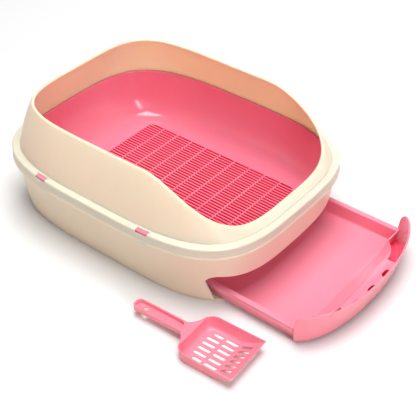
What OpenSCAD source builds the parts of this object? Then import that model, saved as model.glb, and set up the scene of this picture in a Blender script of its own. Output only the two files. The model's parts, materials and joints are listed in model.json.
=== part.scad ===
// Drawer litter box: a sifting pan over a slide-out tray, with a swept splash ring and a scoop.
// Millimetres, +Z up, origin on the floor under the middle of the base tub.
// The drawer opens and the splash ring sweeps low toward -Y.

/* [Base tub] */
// Outside width of the base tub below its rim
base_width = 400; // [384:1:430]
// Outside length of the base tub below its rim
base_length = 503; // [490:1:540]
// Height of the base tub's rim above the floor
base_height = 113.5; // [106:0.5:124]
// How far each side of the tub leans in by the floor
side_lean = 22; // [14:1:24]
// How far each end of the tub leans in by the floor
end_lean = 13.5; // [10:0.5:18]
// Wall thickness of the base tub
tub_wall = 2.8; // [2:0.1:3.4]
// Thickness of the base tub's floor
tub_floor = 3.5; // [2.5:0.1:5]
// Squareness of the plan corners, 2 is an ellipse
corner_n = 3.6; // [3.3:0.1:4.4]

/* [Splash ring] */
// Height of the ring's rim at the back and sides
rim_height = 199; // [160:1:225]
// Height of the ring's rim in the middle of the entry
entry_height = 124.5; // [123.5:0.5:134]
// Distance over which the rim sweeps up from the entry
sweep_length = 155; // [120:1:190]
// Inset of the rim's inner edge from the ring's groove at full height
rim_inset = 34.4; // [28:1:42]
// Inset of the rim's inner edge from the ring's groove at the entry
entry_inset = 18.2; // [16:0.2:22]
// Width of the flat flange round the foot of the ring
flange_width = 12.5; // [12:0.5:16]
// Thickness of the ring's flange
flange_t = 2.7; // [2.2:0.1:3.2]
// Thickness of the ring's wall
ring_wall = 2.7; // [2:0.1:3.4]
// Thickness of the ring's rolled rim
rim_t = 6; // [4.4:0.1:6.6]
// Thickness of the ring's skirt
skirt_t = 1.8; // [1.4:0.1:2.4]
// Height of the ring's skirt
skirt_drop = 19.8; // [14:0.2:24]
// Distance of the ring clips from the middle of each side
clip_offset = 107.5; // [80:1:114]
// Length of each clip lug
clip_length = 22; // [14:1:26]

/* [Sieve pan] */
// Wall thickness of the sieve pan
pan_wall = 2.5; // [1.8:0.1:3]
// Number of slots across the width of the sieve
slot_rows = 38; // [26:2:38]
// Number of slots along the length of the sieve
slot_columns = 10; // [6:2:10]
// Spacing of the slots across the width
row_pitch = 6.6; // [5.4:0.1:6.6]
// Spacing of the slots along the length
column_pitch = 33; // [24:1:33]
// Width of each bar between slots
bar_width = 2.6; // [2:0.1:3.2]
// Width of the cross ribs
rib_width = 3; // [2:0.1:4]
// Thickness of the pan's flange
pan_flange_t = 3; // [2.2:0.1:3.2]

/* [Drawer] */
// Width of the drawer tray over its side lips
tray_width = 296; // [286:1:298]
// Height of the drawer tray
tray_height = 26.2; // [22:0.2:29]
// Length of the drawer tray from its back wall to the middle of its front wall
tray_length = 411.3; // [400:1:430]
// Wall thickness of the drawer tray
tray_wall = 2.5; // [1.8:0.1:3]
// Floor thickness of the drawer tray
tray_floor = 2.2; // [1.6:0.1:3]
// How far the drawer stands open
drawer_open = 140; // [20:1:178]
// Thickness of the drawer front
front_t = 3; // [2.2:0.1:3.4]
// How far the foot of the drawer front bows forward of its ends
front_bow = 63.5; // [60:0.5:66]
// Height of the drawer front in the middle, at the finger dip
front_mid = 54; // [49:0.5:56]
// How far the top of the drawer front would rise from its middle to its ends
front_rise = 11; // [6:0.5:12]

/* [Scoop] */
// Width of the scoop's blade
scoop_width = 92; // [80:1:104]
// Length of the scoop's blade
scoop_blade = 102; // [90:1:104]
// Height of the scoop's rim
scoop_height = 20; // [16:0.5:24]
// Length of the scoop's handle behind the blade
scoop_handle = 104; // [80:1:108]
// Width of the scoop's handle
handle_width = 21; // [18:0.5:26]
// Wall thickness of the scoop
scoop_wall = 1.8; // [1.5:0.1:2.4]
// Diameter of the hang hole
hang_hole = 9; // [5:0.5:11]

/* [Fits] */
// Gap between the tub's floor and the tray that slides on it
slide_gap = 0.3; // [0.2:0.05:0.6]
// Gap between pieces that rest on one another
seat_gap = 0.3; // [0.2:0.05:0.5]
// Gap between the tub's wall and the ring's skirt
skirt_gap = 2.6; // [2.2:0.1:3.4]
// Gap between the tray's sides and its guide ribs
guide_gap = 0.6; // [0.4:0.1:1]
// Gap over the tray's lips under the pan
head_gap = 1.3; // [0.8:0.1:3]

/* [Hidden] */

// Points round each shell
round_steps = 72;
cream = [0.97, 0.93, 0.82];
deep_pink = [0.93, 0.33, 0.44];
pink = [0.96, 0.52, 0.61];

// Plan half sizes of the stacked shells
tub_a = base_width/2;
tub_b = base_length/2;
tub_shoulder = base_height - 13.5;
ring_a = tub_a + skirt_gap + skirt_t;
ring_b = tub_b + skirt_gap + skirt_t;
groove_a = ring_a - flange_width;
groove_b = ring_b - flange_width;
foot_a = tub_a - side_lean;
foot_b = tub_b - end_lean;
foot_n = corner_n + 0.6;
shoulder_n = corner_n - 0.1;
lip_inset = 4.7;
lip_t = 2.4;
lip_a = groove_a - lip_inset;
lip_b = groove_b - lip_inset;

// Heights of the stack
pan_flange_z = base_height + seat_gap;
flange_z = pan_flange_z + pan_flange_t + seat_gap + flange_t;
skirt_z = flange_z - skirt_drop;
tray_z = tub_floor + slide_gap;
tray_top = tray_z + tray_height;
pan_floor_z = tray_top + head_gap + pan_wall;

// Sieve panel
sieve_a = slot_rows*row_pitch/2;
sieve_b = slot_columns*column_pitch/2;
sieve_corner = 12;
panel_recess = 0.4;
pan_flat_a = sieve_a + 12.6;
pan_flat_b = sieve_b + 13;

// Clips
window_play = 0.5;
window_drop = 5.8;
clip_depth = 5.8;
lobe_drop = 5.5;

// Drawer tray
tray_a = tray_width/2;
lip_width = 7;
lip_t_tray = 2;
lip_turn = 10;
body_a = tray_a - lip_width;
// Distance of the closed tray's front wall behind the tub's front
front_set = 17.2;
front_y = front_set - tub_b - drawer_open;
corner_y = front_y + 21.3;
floor_front = front_y + 26.8;
tray_back = front_y + tray_length;
closed_back = tray_back + drawer_open;
lip_front = corner_y - tray_wall;
lip_r = 8;
lip_edge_front = corner_y + 6;
lip_back = tray_back - 13.5;
platform_a = 69;
platform_t = 2.5;
platform_gap = 1.2;
sweep_a = 109;
sweep_n = 2.2;
notch_at = [-52, -9, 35];
notch_half = 10;
notch_r = 6;
notch_depth = 7.5;

// Drawer front, a leaning superellipse arc whose ends curl round the tray's corners
front_n = 2.2;
front_turn = 74.5;
front_ends_y = front_y + 42.8;
front_a = tray_a + 4.7;
front_low = tray_z + 0.7;
flare_height = 45.5;
front_flare = 5.5;
front_lean = 11.4;
front_steps = 64;
front_end = tray_top + 4;
ear_share = 0.72;
foot_share = 0.94;
foot_round = 8;
pocket_t = 2.2;
ledge_spans = [[-40, -21], [3, 23], [47, 62]];
ledge_t = 2.2;
ledge_reach = 7;
ledge_z = tray_top - platform_t - seat_gap - ledge_t;

// Mouth of the tub and the guides behind it
mouth_half_top = tray_a + 15;
mouth_half_bottom = tray_a + 2;
mouth_mid = tray_top + 12;
mouth_arch = 14;
mouth_r = 10;
mouth_low = tub_floor - 0.3;
guide_t = 2.8;
guide_height = 10.5;
guide_front = 75.5 - tub_b;
stop_t = 3;
stop_gap = 0.4;
stop_reach = 24;

// Scoop
scoop_at = [-235, -240, 0];
scoop_turn = 2.9;
scoop_back = 13;
scoop_tip = scoop_back - scoop_blade;
blade_corner = 21;
handle_end = scoop_back + scoop_handle;
handle_depth = 8;
handle_wall = 2.4;
web_t = 2.6;
lip_run = 31;
scoop_slot = [6, 22.5];
slot_columns_y = [-26.5, -53.5];
tip_slot = [-79, 19];
side_margin = 18.25;
corner_trim = 6;

// A squared ellipse in plan
function squircle(a, b, n, t) =
    let(c = cos(t), s = sin(t), r = pow(pow(abs(c), n) + pow(abs(s), n), -1/n)) [a*r*c, b*r*s];

function level(a, b, n, z) =
    [for (i = [0:round_steps - 1]) let(p = squircle(a, b, n, 360*i/round_steps)) [p[0], p[1], z]];

// X of a squared ellipse's side at a given y
function side_x(a, b, n, y) = a*pow(1 - pow(abs(y)/b, n), 1/n);

function smooth(t) = let(u = max(0, min(1, t))) u*u*(3 - 2*u);

// Closed skin over stacked levels; a loop joins the last level to the first
module skin(levels, loop = false) {
    m = len(levels);
    n = len(levels[0]);
    sides = [for (j = [0:m - (loop ? 1 : 2)]) for (i = [0:n - 1]) for (k = [0:1])
        let(a = j*n + i, b = j*n + (i + 1)%n, c = ((j + 1)%m)*n + (i + 1)%n, d = ((j + 1)%m)*n + i)
        k == 0 ? [a, d, c] : [a, c, b]];
    ends = loop ? [] : [[for (i = [0:n - 1]) i], [for (i = [n - 1:-1:0]) (m - 1)*n + i]];
    polyhedron(points = [for (l = levels) for (p = l) p], faces = concat(sides, ends));
}

// Rim height of the splash ring above a point of its groove line
sweep_start = -groove_b - 0.524*sweep_length;
sweep_end = -groove_b + sweep_length;
entry_share = smooth((-groove_b - sweep_start)/(sweep_end - sweep_start));
rim_low = (entry_height - rim_height*entry_share)/(1 - entry_share);
function rim_z(y) =
    rim_low + (rim_height - rim_low)*smooth((y - sweep_start)/(sweep_end - sweep_start));
function inner_inset(z) =
    entry_inset + (rim_inset - entry_inset)*(z - entry_height)/(rim_height - entry_height);

// One point of the ring's wall: s runs up the wall from the groove, t is depth behind its outer face
wall_bulge = 3;
rim_square = 0.9;
function wall_frame(i) =
    let(t = 360*i/round_steps, g = squircle(groove_a, groove_b, corner_n, t), zr = rim_z(g[1]),
        ins = inner_inset(zr), up = zr - flange_z, q = up/norm([ins, up]),
        vx = ins - (rim_t - 0.2)*q, rise = up + rim_t*0.18, len = norm([vx, rise]))
    [t, len, vx/len, rise/len];
function wall_point(f, s, t) =
    let(u = max(0, min(1, s/f[1])), bulge = wall_bulge*4*u*(1 - u)*f[1]*f[3]/(rim_height - flange_z),
        ins = f[2]*s + f[3]*t - bulge, n = corner_n + rim_square*ins/rim_inset,
        p = squircle(groove_a - ins, groove_b - ins, n, f[0]))
    [p[0], p[1], flange_z + f[3]*s - f[2]*t];
// s from the groove is share*length + shift
function wall_level(share, shift, t) =
    [for (i = [0:round_steps - 1]) let(f = wall_frame(i)) wall_point(f, share*f[1] + shift, t)];
function wall_foot() =
    [for (i = [0:round_steps - 1]) let(f = wall_frame(i))
        wall_point(f, (f[2]*ring_wall - flange_t)/f[3], ring_wall)];

module clip_cut(outer, inner, half, z0, z1) {
    for (side = [-1, 1])
        for (end = [-1, 1])
            translate([0, 0, z0])
                linear_extrude(height = z1 - z0)
                    polygon(concat(
                        [for (k = [-2:2]) let(y = end*clip_offset + k*half/2)
                            [side*(side_x(ring_a, ring_b, corner_n, y) + outer), y]],
                        [for (k = [2:-1:-2]) let(y = end*clip_offset + k*half/2)
                            [side*(side_x(ring_a, ring_b, corner_n, y) - inner), y]]));
}

module base_tub() {
    fillet = 2.5;
    share = fillet/tub_shoulder;
    color(cream)
    union() {
        difference() {
            skin([
                level(foot_a - 2, foot_b - 2, foot_n, 0),
                level(foot_a + side_lean*share, foot_b + end_lean*share, foot_n, fillet),
                level(tub_a, tub_b, shoulder_n, tub_shoulder),
                level(tub_a, tub_b, shoulder_n, base_height - 1),
                level(tub_a - 0.9, tub_b - 0.9, shoulder_n, base_height),
                level(tub_a - tub_wall, tub_b - tub_wall, shoulder_n, base_height),
                level(tub_a - tub_wall, tub_b - tub_wall, shoulder_n, tub_shoulder),
                level(foot_a - tub_wall + 1, foot_b - tub_wall + 1, foot_n, tub_floor + 4),
                level(foot_a - tub_wall - 3, foot_b - tub_wall - 3, foot_n, tub_floor)
            ]);
            translate([0, -tub_b - 20, 0])
                rotate([-90, 0, 0])
                    linear_extrude(height = tub_b - 110)
                        mouth_shape();
        }
        // Guide ribs and end stops on the tub's floor
        for (side = [-1, 1]) {
            rib_x = side > 0 ? body_a + guide_gap : -body_a - guide_gap - guide_t;
            stop_x = side > 0 ? body_a - stop_reach : -body_a - guide_gap - guide_t;
            translate([rib_x, guide_front, tub_floor - 1])
                cube([guide_t, closed_back + stop_gap + stop_t - guide_front, guide_height + 1]);
            translate([stop_x, closed_back + stop_gap, tub_floor - 1])
                cube([stop_reach + guide_gap + guide_t, stop_t, guide_height + 1]);
        }
    }
}

// Front elevation of the mouth with its arched top edge, drawn with z pointing down the sketch
function mouth_edge(x) = mouth_mid + mouth_arch*pow(x/mouth_half_bottom, 2);
module mouth_shape() {
    bend_x = mouth_half_top - mouth_r;
    bend_z = mouth_edge(bend_x) - mouth_r;
    right = concat(
        [for (i = [1:12]) let(x = bend_x*i/12) [x, mouth_edge(x)]],
        [for (i = [1:6]) let(t = 90 - 15*i) [bend_x + mouth_r*cos(t), bend_z + mouth_r*sin(t)]],
        [[mouth_half_bottom, mouth_low]]);
    last = len(right) - 1;
    polygon(concat(
        [for (i = [last:-1:0]) [-right[i][0], -right[i][1]]],
        [[0, -mouth_mid]],
        [for (p = right) [p[0], -p[1]]]));
}

module sieve_panel() {
    slot_w = row_pitch - bar_width;
    cell = 2*column_pitch;
    difference() {
        polygon([for (p = level(pan_flat_a - 6, pan_flat_b - 6, 14, 0)) [p[0], p[1]]]);
        for (i = [0:slot_rows - 1])
            for (j = [0:slot_columns/2 - 1]) {
                x = (i - (slot_rows - 1)/2)*row_pitch;
                over = max(0, abs(x) - (sieve_a - sieve_corner));
                reach = sieve_b - sieve_corner + sqrt(sieve_corner*sieve_corner - over*over);
                y0 = max(-reach, j*cell - sieve_b) + rib_width/2;
                y1 = min(reach, (j + 1)*cell - sieve_b) - rib_width/2;
                translate([x - slot_w/2, y0])
                    square([slot_w, y1 - y0]);
            }
    }
}

module sieve_pan() {
    drop = pan_flange_z - pan_floor_z;
    in_a = lip_a - lip_t;
    in_b = lip_b - lip_t;
    shape = 2.1;
    flange_a = ring_a - skirt_t - 0.9;
    flange_b = ring_b - skirt_t - 0.9;
    border_a = pan_flat_a - 10.8;
    border_b = pan_flat_b - 11.2;
    inner = [for (i = [0:7]) let(t = 90*i/7, fx = pow(sin(t), 2/shape), fz = 1 - pow(cos(t), 2/shape))
        [pan_flat_a + (in_a - pan_flat_a)*fx, pan_flat_b + (in_b - pan_flat_b)*fx,
            7 + (corner_n - 7)*fx, pan_floor_z + drop*fz, sin(t), cos(t)]];
    lip_outer = level(lip_a, lip_b, corner_n, 0);
    lip_inner = level(in_a, in_b, corner_n, 0);
    lip = [for (i = [0:round_steps - 1]) let(y = squircle(groove_a, groove_b, corner_n, 360*i/round_steps)[1])
        flange_z - 1.8 + 4*max(0, min(1, (rim_z(y) - entry_height)/30))];
    color(deep_pink)
    union() {
        skin(concat(
            [level(border_a, border_b, 14, pan_floor_z - pan_wall)],
            [for (k = inner)
                level(k[0] + pan_wall*k[4], k[1] + pan_wall*k[4], k[2], k[3] - pan_wall*k[5])],
            [
                level(flange_a, flange_b, corner_n, pan_flange_z),
                level(flange_a, flange_b, corner_n, pan_flange_z + pan_flange_t),
                level(lip_a, lip_b, corner_n, pan_flange_z + pan_flange_t),
                [for (i = [0:round_steps - 1]) let(p = lip_outer[i]) [p[0], p[1], lip[i]]],
                [for (i = [0:round_steps - 1]) let(p = lip_inner[i]) [p[0], p[1], lip[i]]]
            ],
            [for (i = [7:-1:0]) level(inner[i][0], inner[i][1], inner[i][2], inner[i][3])],
            [level(border_a, border_b, 14, pan_floor_z)]
        ), loop = true);
        translate([0, 0, pan_floor_z - pan_wall + 0.3])
            linear_extrude(height = pan_wall - 0.3 - panel_recess)
                sieve_panel();
        // Low cross ribs half way along each pair of slots
        for (j = [0:slot_columns/2 - 1])
            translate([-sieve_a - 2, (2*j + 1)*column_pitch - sieve_b - rib_width/2,
                pan_floor_z - pan_wall + 0.5])
                cube([2*sieve_a + 4, rib_width, pan_wall - 1.7]);
        // Clip lugs that show through the ring's windows
        clip_cut(-skirt_t - seat_gap, skirt_t + clip_depth, clip_length/2,
            pan_flange_z + 0.2, flange_z - 1.3);
    }
}

module splash_ring() {
    under = flange_z - flange_t;
    color(cream)
    union() {
        difference() {
            skin([
                level(ring_a + 0.8, ring_b + 0.8, corner_n, skirt_z),
                level(ring_a + 0.8, ring_b + 0.8, corner_n, skirt_z + 3),
                level(ring_a, ring_b, corner_n, skirt_z + 3.8),
                level(ring_a, ring_b, corner_n, flange_z - 2.5),
                level(ring_a - 0.8, ring_b - 0.8, corner_n, flange_z - 0.7),
                level(ring_a - 2.5, ring_b - 2.5, corner_n, flange_z),
                level(groove_a + 1.6, groove_b + 1.6, corner_n, flange_z),
                level(groove_a + 0.8, groove_b + 0.8, corner_n, flange_z - 0.9),
                wall_level(0, 0, 0),
                wall_level(0.17, 0, 0),
                wall_level(0.34, 0, 0),
                wall_level(0.51, 0, 0),
                wall_level(0.68, 0, 0),
                wall_level(0.84, 0, 0),
                wall_level(1, -2.6, 0),
                wall_level(1, -0.8, rim_t*0.14),
                wall_level(1, 0, rim_t*0.5),
                wall_level(1, -0.8, rim_t*0.86),
                wall_level(1, -2.6, rim_t),
                wall_level(1, -5.2, rim_t),
                wall_level(1, -7.4, ring_wall),
                wall_level(0.75, -5.5, ring_wall),
                wall_level(0.5, -3.7, ring_wall),
                wall_level(0.25, -1.8, ring_wall),
                wall_foot(),
                level(ring_a - skirt_t, ring_b - skirt_t, corner_n, under),
                level(ring_a - skirt_t, ring_b - skirt_t, corner_n, skirt_z)
            ], loop = true);
            clip_cut(3, skirt_t + clip_depth + window_play, clip_length/2 + window_play,
                flange_z - window_drop, flange_z + 1);
        }
        // Tabs that hang under the windows
        clip_cut(-0.25, skirt_t - 0.25, clip_length/2, skirt_z - lobe_drop, skirt_z + 2);
    }
}

// Top inner edge of the front wall, which sweeps forward from each corner to the platform
function tray_front(x) =
    let(u = max(0, min(1, (sweep_a - abs(x))/(sweep_a - platform_a))))
    corner_y + (front_y - corner_y)*(1 - pow(1 - u, sweep_n));

// Inner or outer outline of the tray, open toward the sloping front wall
module tray_outline(inset, front) {
    r = 13 - inset;
    a = body_a - inset;
    b = tray_back - inset;
    polygon(concat(
        [[-a, front], [a, front]],
        [for (i = [0:6]) let(t = 15*i) [a - r + r*cos(t), b - r + r*sin(t)]],
        [for (i = [0:6]) let(t = 90 + 15*i) [-a + r + r*cos(t), b - r + r*sin(t)]]));
}

module drawer_tray() {
    rows = 64;
    lean = [for (i = [0:rows]) let(x = -body_a + 0.4 + 2*(body_a - 0.4)*i/rows, y = tray_front(x)) [
        [x, floor_front - 0.5, tray_z],
        [x, y - tray_wall, tray_top - 2.2],
        [x, y - tray_wall, tray_top],
        [x, y, tray_top],
        [x, floor_front + 1, tray_z + tray_floor - 0.4]]];
    color(pink)
    union() {
        difference() {
            translate([0, 0, tray_z])
                linear_extrude(height = tray_height)
                    tray_outline(0, corner_y - tray_wall);
            translate([0, 0, tray_z + tray_floor])
                linear_extrude(height = tray_height)
                    tray_outline(tray_wall, corner_y - 10);
            // Open front under the leaning wall
            translate([-body_a - 1, corner_y - 10, tray_z - 1])
                cube([2*body_a + 2, floor_front - corner_y + 9.4, tray_floor + 1.1]);
        }
        // Leaning front wall, bowed forward to the platform
        skin([for (i = [rows:-1:0]) lean[i]]);
        // Side lips with a turned down edge
        for (side = [0, 1])
            mirror([side, 0, 0]) {
                translate([0, 0, tray_top - lip_t_tray])
                    linear_extrude(height = lip_t_tray)
                        polygon(concat(
                            [[body_a - 1, lip_back], [body_a - 1, lip_front]],
                            [for (t = [-75:15:0])
                                [tray_a - lip_r + lip_r*cos(t), lip_front + lip_r + lip_r*sin(t)]],
                            [[tray_a, lip_back]]));
                translate([tray_a - lip_t_tray, lip_edge_front, tray_top - lip_turn])
                    cube([lip_t_tray, lip_back - lip_edge_front, lip_turn]);
            }
        // Platform behind the drawer front, with three finger notches along its edge
        translate([0, 0, tray_top - platform_t])
            linear_extrude(height = platform_t)
                difference() {
                    intersection() {
                        translate([-platform_a, front_y - 60])
                            square([2*platform_a, 60.5]);
                        front_plan(tray_top - platform_t, front_t + platform_gap);
                    }
                    for (x = notch_at)
                        translate([x, front_inner_y(x, tray_top - platform_t)])
                            notch_shape();
                }
    }
}

module notch_shape() {
    a = notch_half - notch_r;
    b = notch_depth - notch_r;
    polygon(concat(
        [[-notch_half, -notch_half], [notch_half, -notch_half]],
        [for (t = [0:15:90]) [a + notch_r*cos(t), b + notch_r*sin(t)]],
        [for (t = [90:15:180]) [-a + notch_r*cos(t), b + notch_r*sin(t)]]));
}

// A point of the drawer front: t runs from end to end with 0 in the middle
function front_point(t, z, inset) =
    let(h = (z - front_low)/flare_height,
        p = squircle(front_bow + front_lean*h - inset, front_a + front_flare*h - inset, front_n, t))
    [p[1], front_ends_y - p[0], z];
function front_inner_y(x, z) =
    let(h = (z - front_low)/flare_height)
    front_ends_y - side_x(front_bow + front_lean*h - front_t, front_a + front_flare*h - front_t, front_n, x);
// Height of the rim, which rises from the finger dip and rounds over at the two ends
function front_rim(t) =
    let(u = abs(t)/front_turn, over = max(0, (u - ear_share)/(1 - ear_share)))
    front_end + (front_mid + front_rise*u*u - front_end)*pow(1 - pow(over, 2.5), 0.4);
// Height of the foot, rounded up at the two ends
function front_foot(t) =
    let(over = max(0, (abs(t)/front_turn - foot_share)/(1 - foot_share)))
    front_low + foot_round*(1 - sqrt(1 - over*over));

module front_plan(z, inset) {
    polygon([for (i = [0:front_steps]) let(p = front_point(front_turn*(2*i/front_steps - 1), z, inset))
        [p[0], p[1]]]);
}

module drawer_front() {
    bead = 0.8;
    color(pink)
    union() {
        skin([for (i = [front_steps:-1:0])
            let(t = front_turn*(2*i/front_steps - 1), z = front_rim(t), low = front_foot(t)) [
            front_point(t, low, 0),
            front_point(t, z - bead, 0),
            front_point(t, z, bead),
            front_point(t, z, front_t - bead),
            front_point(t, z - bead, front_t),
            front_point(t, low, front_t)]]);
        // Foot plate that closes the pocket in front of the tray
        translate([0, 0, front_low])
            linear_extrude(height = pocket_t)
                intersection() {
                    translate([-tray_a, lip_front - 1 - 90])
                        square([2*tray_a, 90]);
                    front_plan(front_low, front_t/2);
                }
        // Ledges that carry the tray's platform between its notches
        translate([0, 0, ledge_z])
            linear_extrude(height = ledge_t)
                for (span = ledge_spans)
                    intersection() {
                        translate([span[0], front_y - 60])
                            square([span[1] - span[0], 60]);
                        difference() {
                            front_plan(ledge_z, front_t/2);
                            front_plan(ledge_z, front_t + ledge_reach);
                        }
                    }
    }
}

// Plan of the scoop's blade, pulled in by an inset on the sides and back
function blade_plan(inset, z) =
    let(a = scoop_width/2 - inset, b = scoop_back - inset, r = blade_corner - inset)
    [for (p = concat(
        [[-a, scoop_tip - 4], [a, scoop_tip - 4]],
        [for (i = [0:8]) let(t = 90*i/8) [a - r + r*cos(t), b - r + r*sin(t)]],
        [for (i = [0:8]) let(t = 90 + 90*i/8) [-a + r + r*cos(t), b - r + r*sin(t)]])) [p[0], p[1], z]];

// A side profile of (y, z) points drawn right across the scoop
module across(points) {
    translate([-80, 0, 0])
        rotate([90, 0, 90])
            linear_extrude(height = 160)
                polygon(points);
}

module handle_plan(inset, root) {
    a = handle_width/2 - inset;
    r = min(a, 8.5);
    polygon(concat(
        [[-a, root], [a, root]],
        [for (i = [0:6]) let(t = 15*i) [a - r + r*cos(t), handle_end - inset - r + r*sin(t)]],
        [for (i = [0:6]) let(t = 90 + 15*i) [-a + r + r*cos(t), handle_end - inset - r + r*sin(t)]]));
}

module scoop() {
    h = scoop_height;
    lip_y = scoop_tip + lip_run;
    row = (scoop_width - 2*side_margin)/5;
    half = handle_width/2;
    color(pink)
    translate(scoop_at)
    rotate([0, 0, scoop_turn])
    difference() {
        union() {
            difference() {
                intersection() {
                    skin([blade_plan(2.5, 0), blade_plan(0, h)]);
                    across([[scoop_back + 2, -1], [scoop_back + 2, h + 1], [scoop_tip, h + 1],
                        [scoop_tip, h - scoop_wall], [lip_y, 0], [lip_y, -1]]);
                }
                intersection() {
                    skin([blade_plan(9, scoop_wall + 0.2), blade_plan(scoop_wall, h + 0.5)]);
                    across([[scoop_back, scoop_wall], [scoop_back, h + 2], [scoop_tip - 1, h + 2],
                        [scoop_tip - 1, h], [lip_y, scoop_wall]]);
                }
            }
            // Neck web, flared from the handle into the back of the blade
            translate([0, 0, h - web_t])
                linear_extrude(height = web_t)
                    polygon(concat(
                        [for (i = [0:6]) let(t = i/6)
                            [half - 0.5 + 26*pow(1 - t, 2.2), scoop_back - 5 + 22*t]],
                        [for (i = [6:-1:0]) let(t = i/6)
                            [-half + 0.5 - 26*pow(1 - t, 2.2), scoop_back - 5 + 22*t]]));
            // Channel handle
            translate([0, 0, h - handle_depth])
                linear_extrude(height = handle_depth)
                    handle_plan(0, scoop_back - 2.2);
        }
        // Channel of the handle, stopped short of the neck
        translate([0, 0, h - handle_depth + 2.2])
            linear_extrude(height = handle_depth)
                intersection() {
                    handle_plan(handle_wall, scoop_back);
                    union() {
                        translate([0, scoop_back + 12 + half])
                            circle(r = half - handle_wall, $fn = 40);
                        translate([-20, scoop_back + 12 + half])
                            square([40, scoop_handle]);
                    }
                }
        translate([0, handle_end - 19, -1])
            cylinder(d = hang_hole, h = h + 2, $fn = 48);
        // Three columns of six slots
        for (i = [0:5]) {
            x = (i - 2.5)*row;
            trim = (i == 0 || i == 5) ? corner_trim : 0;
            translate([x - scoop_slot[0]/2, slot_columns_y[0], -1])
                cube([scoop_slot[0], scoop_slot[1] - trim, scoop_wall + 3]);
            translate([x - scoop_slot[0]/2, slot_columns_y[1], -1])
                cube([scoop_slot[0], scoop_slot[1], scoop_wall + 3]);
            translate([x - scoop_slot[0]/2, tip_slot[0], -1])
                cube([scoop_slot[0], tip_slot[1], h]);
        }
    }
}

base_tub();
sieve_pan();
splash_ring();
drawer_tray();
drawer_front();
scoop();
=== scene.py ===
"""Drawer litter box: smooth moulded shells, sieve, drawer and scoop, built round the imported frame."""

import json
import logging
import math
from dataclasses import dataclass, field
from enum import Enum
from itertools import product
from typing import Callable, Sequence

import bmesh
import bpy
import numpy as np
from mathutils import Matrix, Vector

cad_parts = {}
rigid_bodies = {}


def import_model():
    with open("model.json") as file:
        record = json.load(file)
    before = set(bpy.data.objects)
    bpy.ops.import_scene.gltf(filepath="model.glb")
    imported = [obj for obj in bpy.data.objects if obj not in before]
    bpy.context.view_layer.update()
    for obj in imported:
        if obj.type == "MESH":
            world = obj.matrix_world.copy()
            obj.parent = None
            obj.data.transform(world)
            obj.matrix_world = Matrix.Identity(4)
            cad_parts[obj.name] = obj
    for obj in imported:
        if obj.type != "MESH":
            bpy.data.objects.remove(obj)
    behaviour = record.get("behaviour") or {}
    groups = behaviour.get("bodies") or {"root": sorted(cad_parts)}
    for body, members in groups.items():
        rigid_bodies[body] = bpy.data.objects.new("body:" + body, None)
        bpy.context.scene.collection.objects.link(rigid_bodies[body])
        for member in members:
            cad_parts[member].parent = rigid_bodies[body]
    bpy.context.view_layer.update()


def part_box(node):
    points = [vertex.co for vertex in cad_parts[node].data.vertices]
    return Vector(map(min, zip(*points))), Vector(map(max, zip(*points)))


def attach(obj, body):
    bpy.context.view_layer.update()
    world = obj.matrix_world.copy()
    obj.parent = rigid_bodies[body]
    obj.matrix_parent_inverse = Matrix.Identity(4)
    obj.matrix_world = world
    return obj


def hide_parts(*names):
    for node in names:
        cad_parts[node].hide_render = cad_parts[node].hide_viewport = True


LOG = logging.getLogger("litter_box")

MM = 0.001
# Points round each loop of a shell
AROUND = 360
# Width of the rounding on small square edges
SOFT_EDGE = 0.5 * MM
# -1 is the left side and 1 the right one; a clip has a side and an end, -1 for the entry and 1 for the back
SIDES = (-1, 1)
CLIPS = tuple(product(SIDES, SIDES))
WHITE = (1.0, 1.0, 1.0)

Loop = np.ndarray
Point = tuple[float, float]
Place = tuple[float, float, float]
Colour = tuple[float, float, float]


class Body(Enum):
    """Rigid bodies of the frame that pieces ride on."""

    BASE = "base"
    PAN = "pan"
    RING = "ring"
    DRAWER = "drawer"
    SCOOP = "scoop"


class Cut(Enum):
    """Ways of combining a piece with a cutter."""

    REMOVE = "DIFFERENCE"
    KEEP = "INTERSECT"
    ADD = "UNION"


class Socket(Enum):
    """Kinds of input and output that a node group has."""

    NUMBER = "NodeSocketFloat"
    WHOLE = "NodeSocketInt"
    SHAPE = "NodeSocketGeometry"
    MATERIAL = "NodeSocketMaterial"


# ---------------------------------------------------------------- plan curves


def squircle(half_x: np.ndarray | float, half_y: np.ndarray | float, power: np.ndarray | float,
             angles: np.ndarray) -> np.ndarray:
    """Points of a squared ellipse at given polar parameters.

    Args:
        half_x: Half size across.
        half_y: Half size along.
        power: Squareness of the corners, 2 for an ellipse.
        angles: Parameters in radians.

    Returns:
        An (N, 2) array of plan points.
    """
    cosine, sine = np.cos(angles), np.sin(angles)
    reach = (np.abs(cosine) ** power + np.abs(sine) ** power) ** (-1.0 / power)
    return np.stack([half_x * reach * cosine, half_y * reach * sine], axis=1)


def round_rectangle(half_x: float, half_y: float, radius: float, angles: np.ndarray) -> np.ndarray:
    """Points of a rounded rectangle on rays that match those of a squared ellipse.

    Args:
        half_x: Half size across.
        half_y: Half size along.
        radius: Corner radius.
        angles: Parameters in radians, of the rays in the unit square.

    Returns:
        An (N, 2) array of plan points.
    """
    points = []
    for angle in angles:
        dx, dy = half_x * math.cos(angle), half_y * math.sin(angle)
        reach = min(half_x / max(abs(dx), 1e-9), half_y / max(abs(dy), 1e-9))
        x, y = dx * reach, dy * reach
        cx, cy = half_x - radius, half_y - radius
        if abs(x) > cx and abs(y) > cy:
            a = dx * dx + dy * dy
            b = -2 * (abs(dx) * cx + abs(dy) * cy)
            c = cx * cx + cy * cy - radius * radius
            reach = (-b + math.sqrt(max(b * b - 4 * a * c, 0.0))) / (2 * a)
            x, y = dx * reach, dy * reach
        points.append((x, y))
    return np.array(points)


def smooth_step(value: np.ndarray | float) -> np.ndarray | float:
    """Eased 0 to 1."""
    clipped = np.clip(value, 0.0, 1.0)
    return clipped * clipped * (3 - 2 * clipped)


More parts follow.
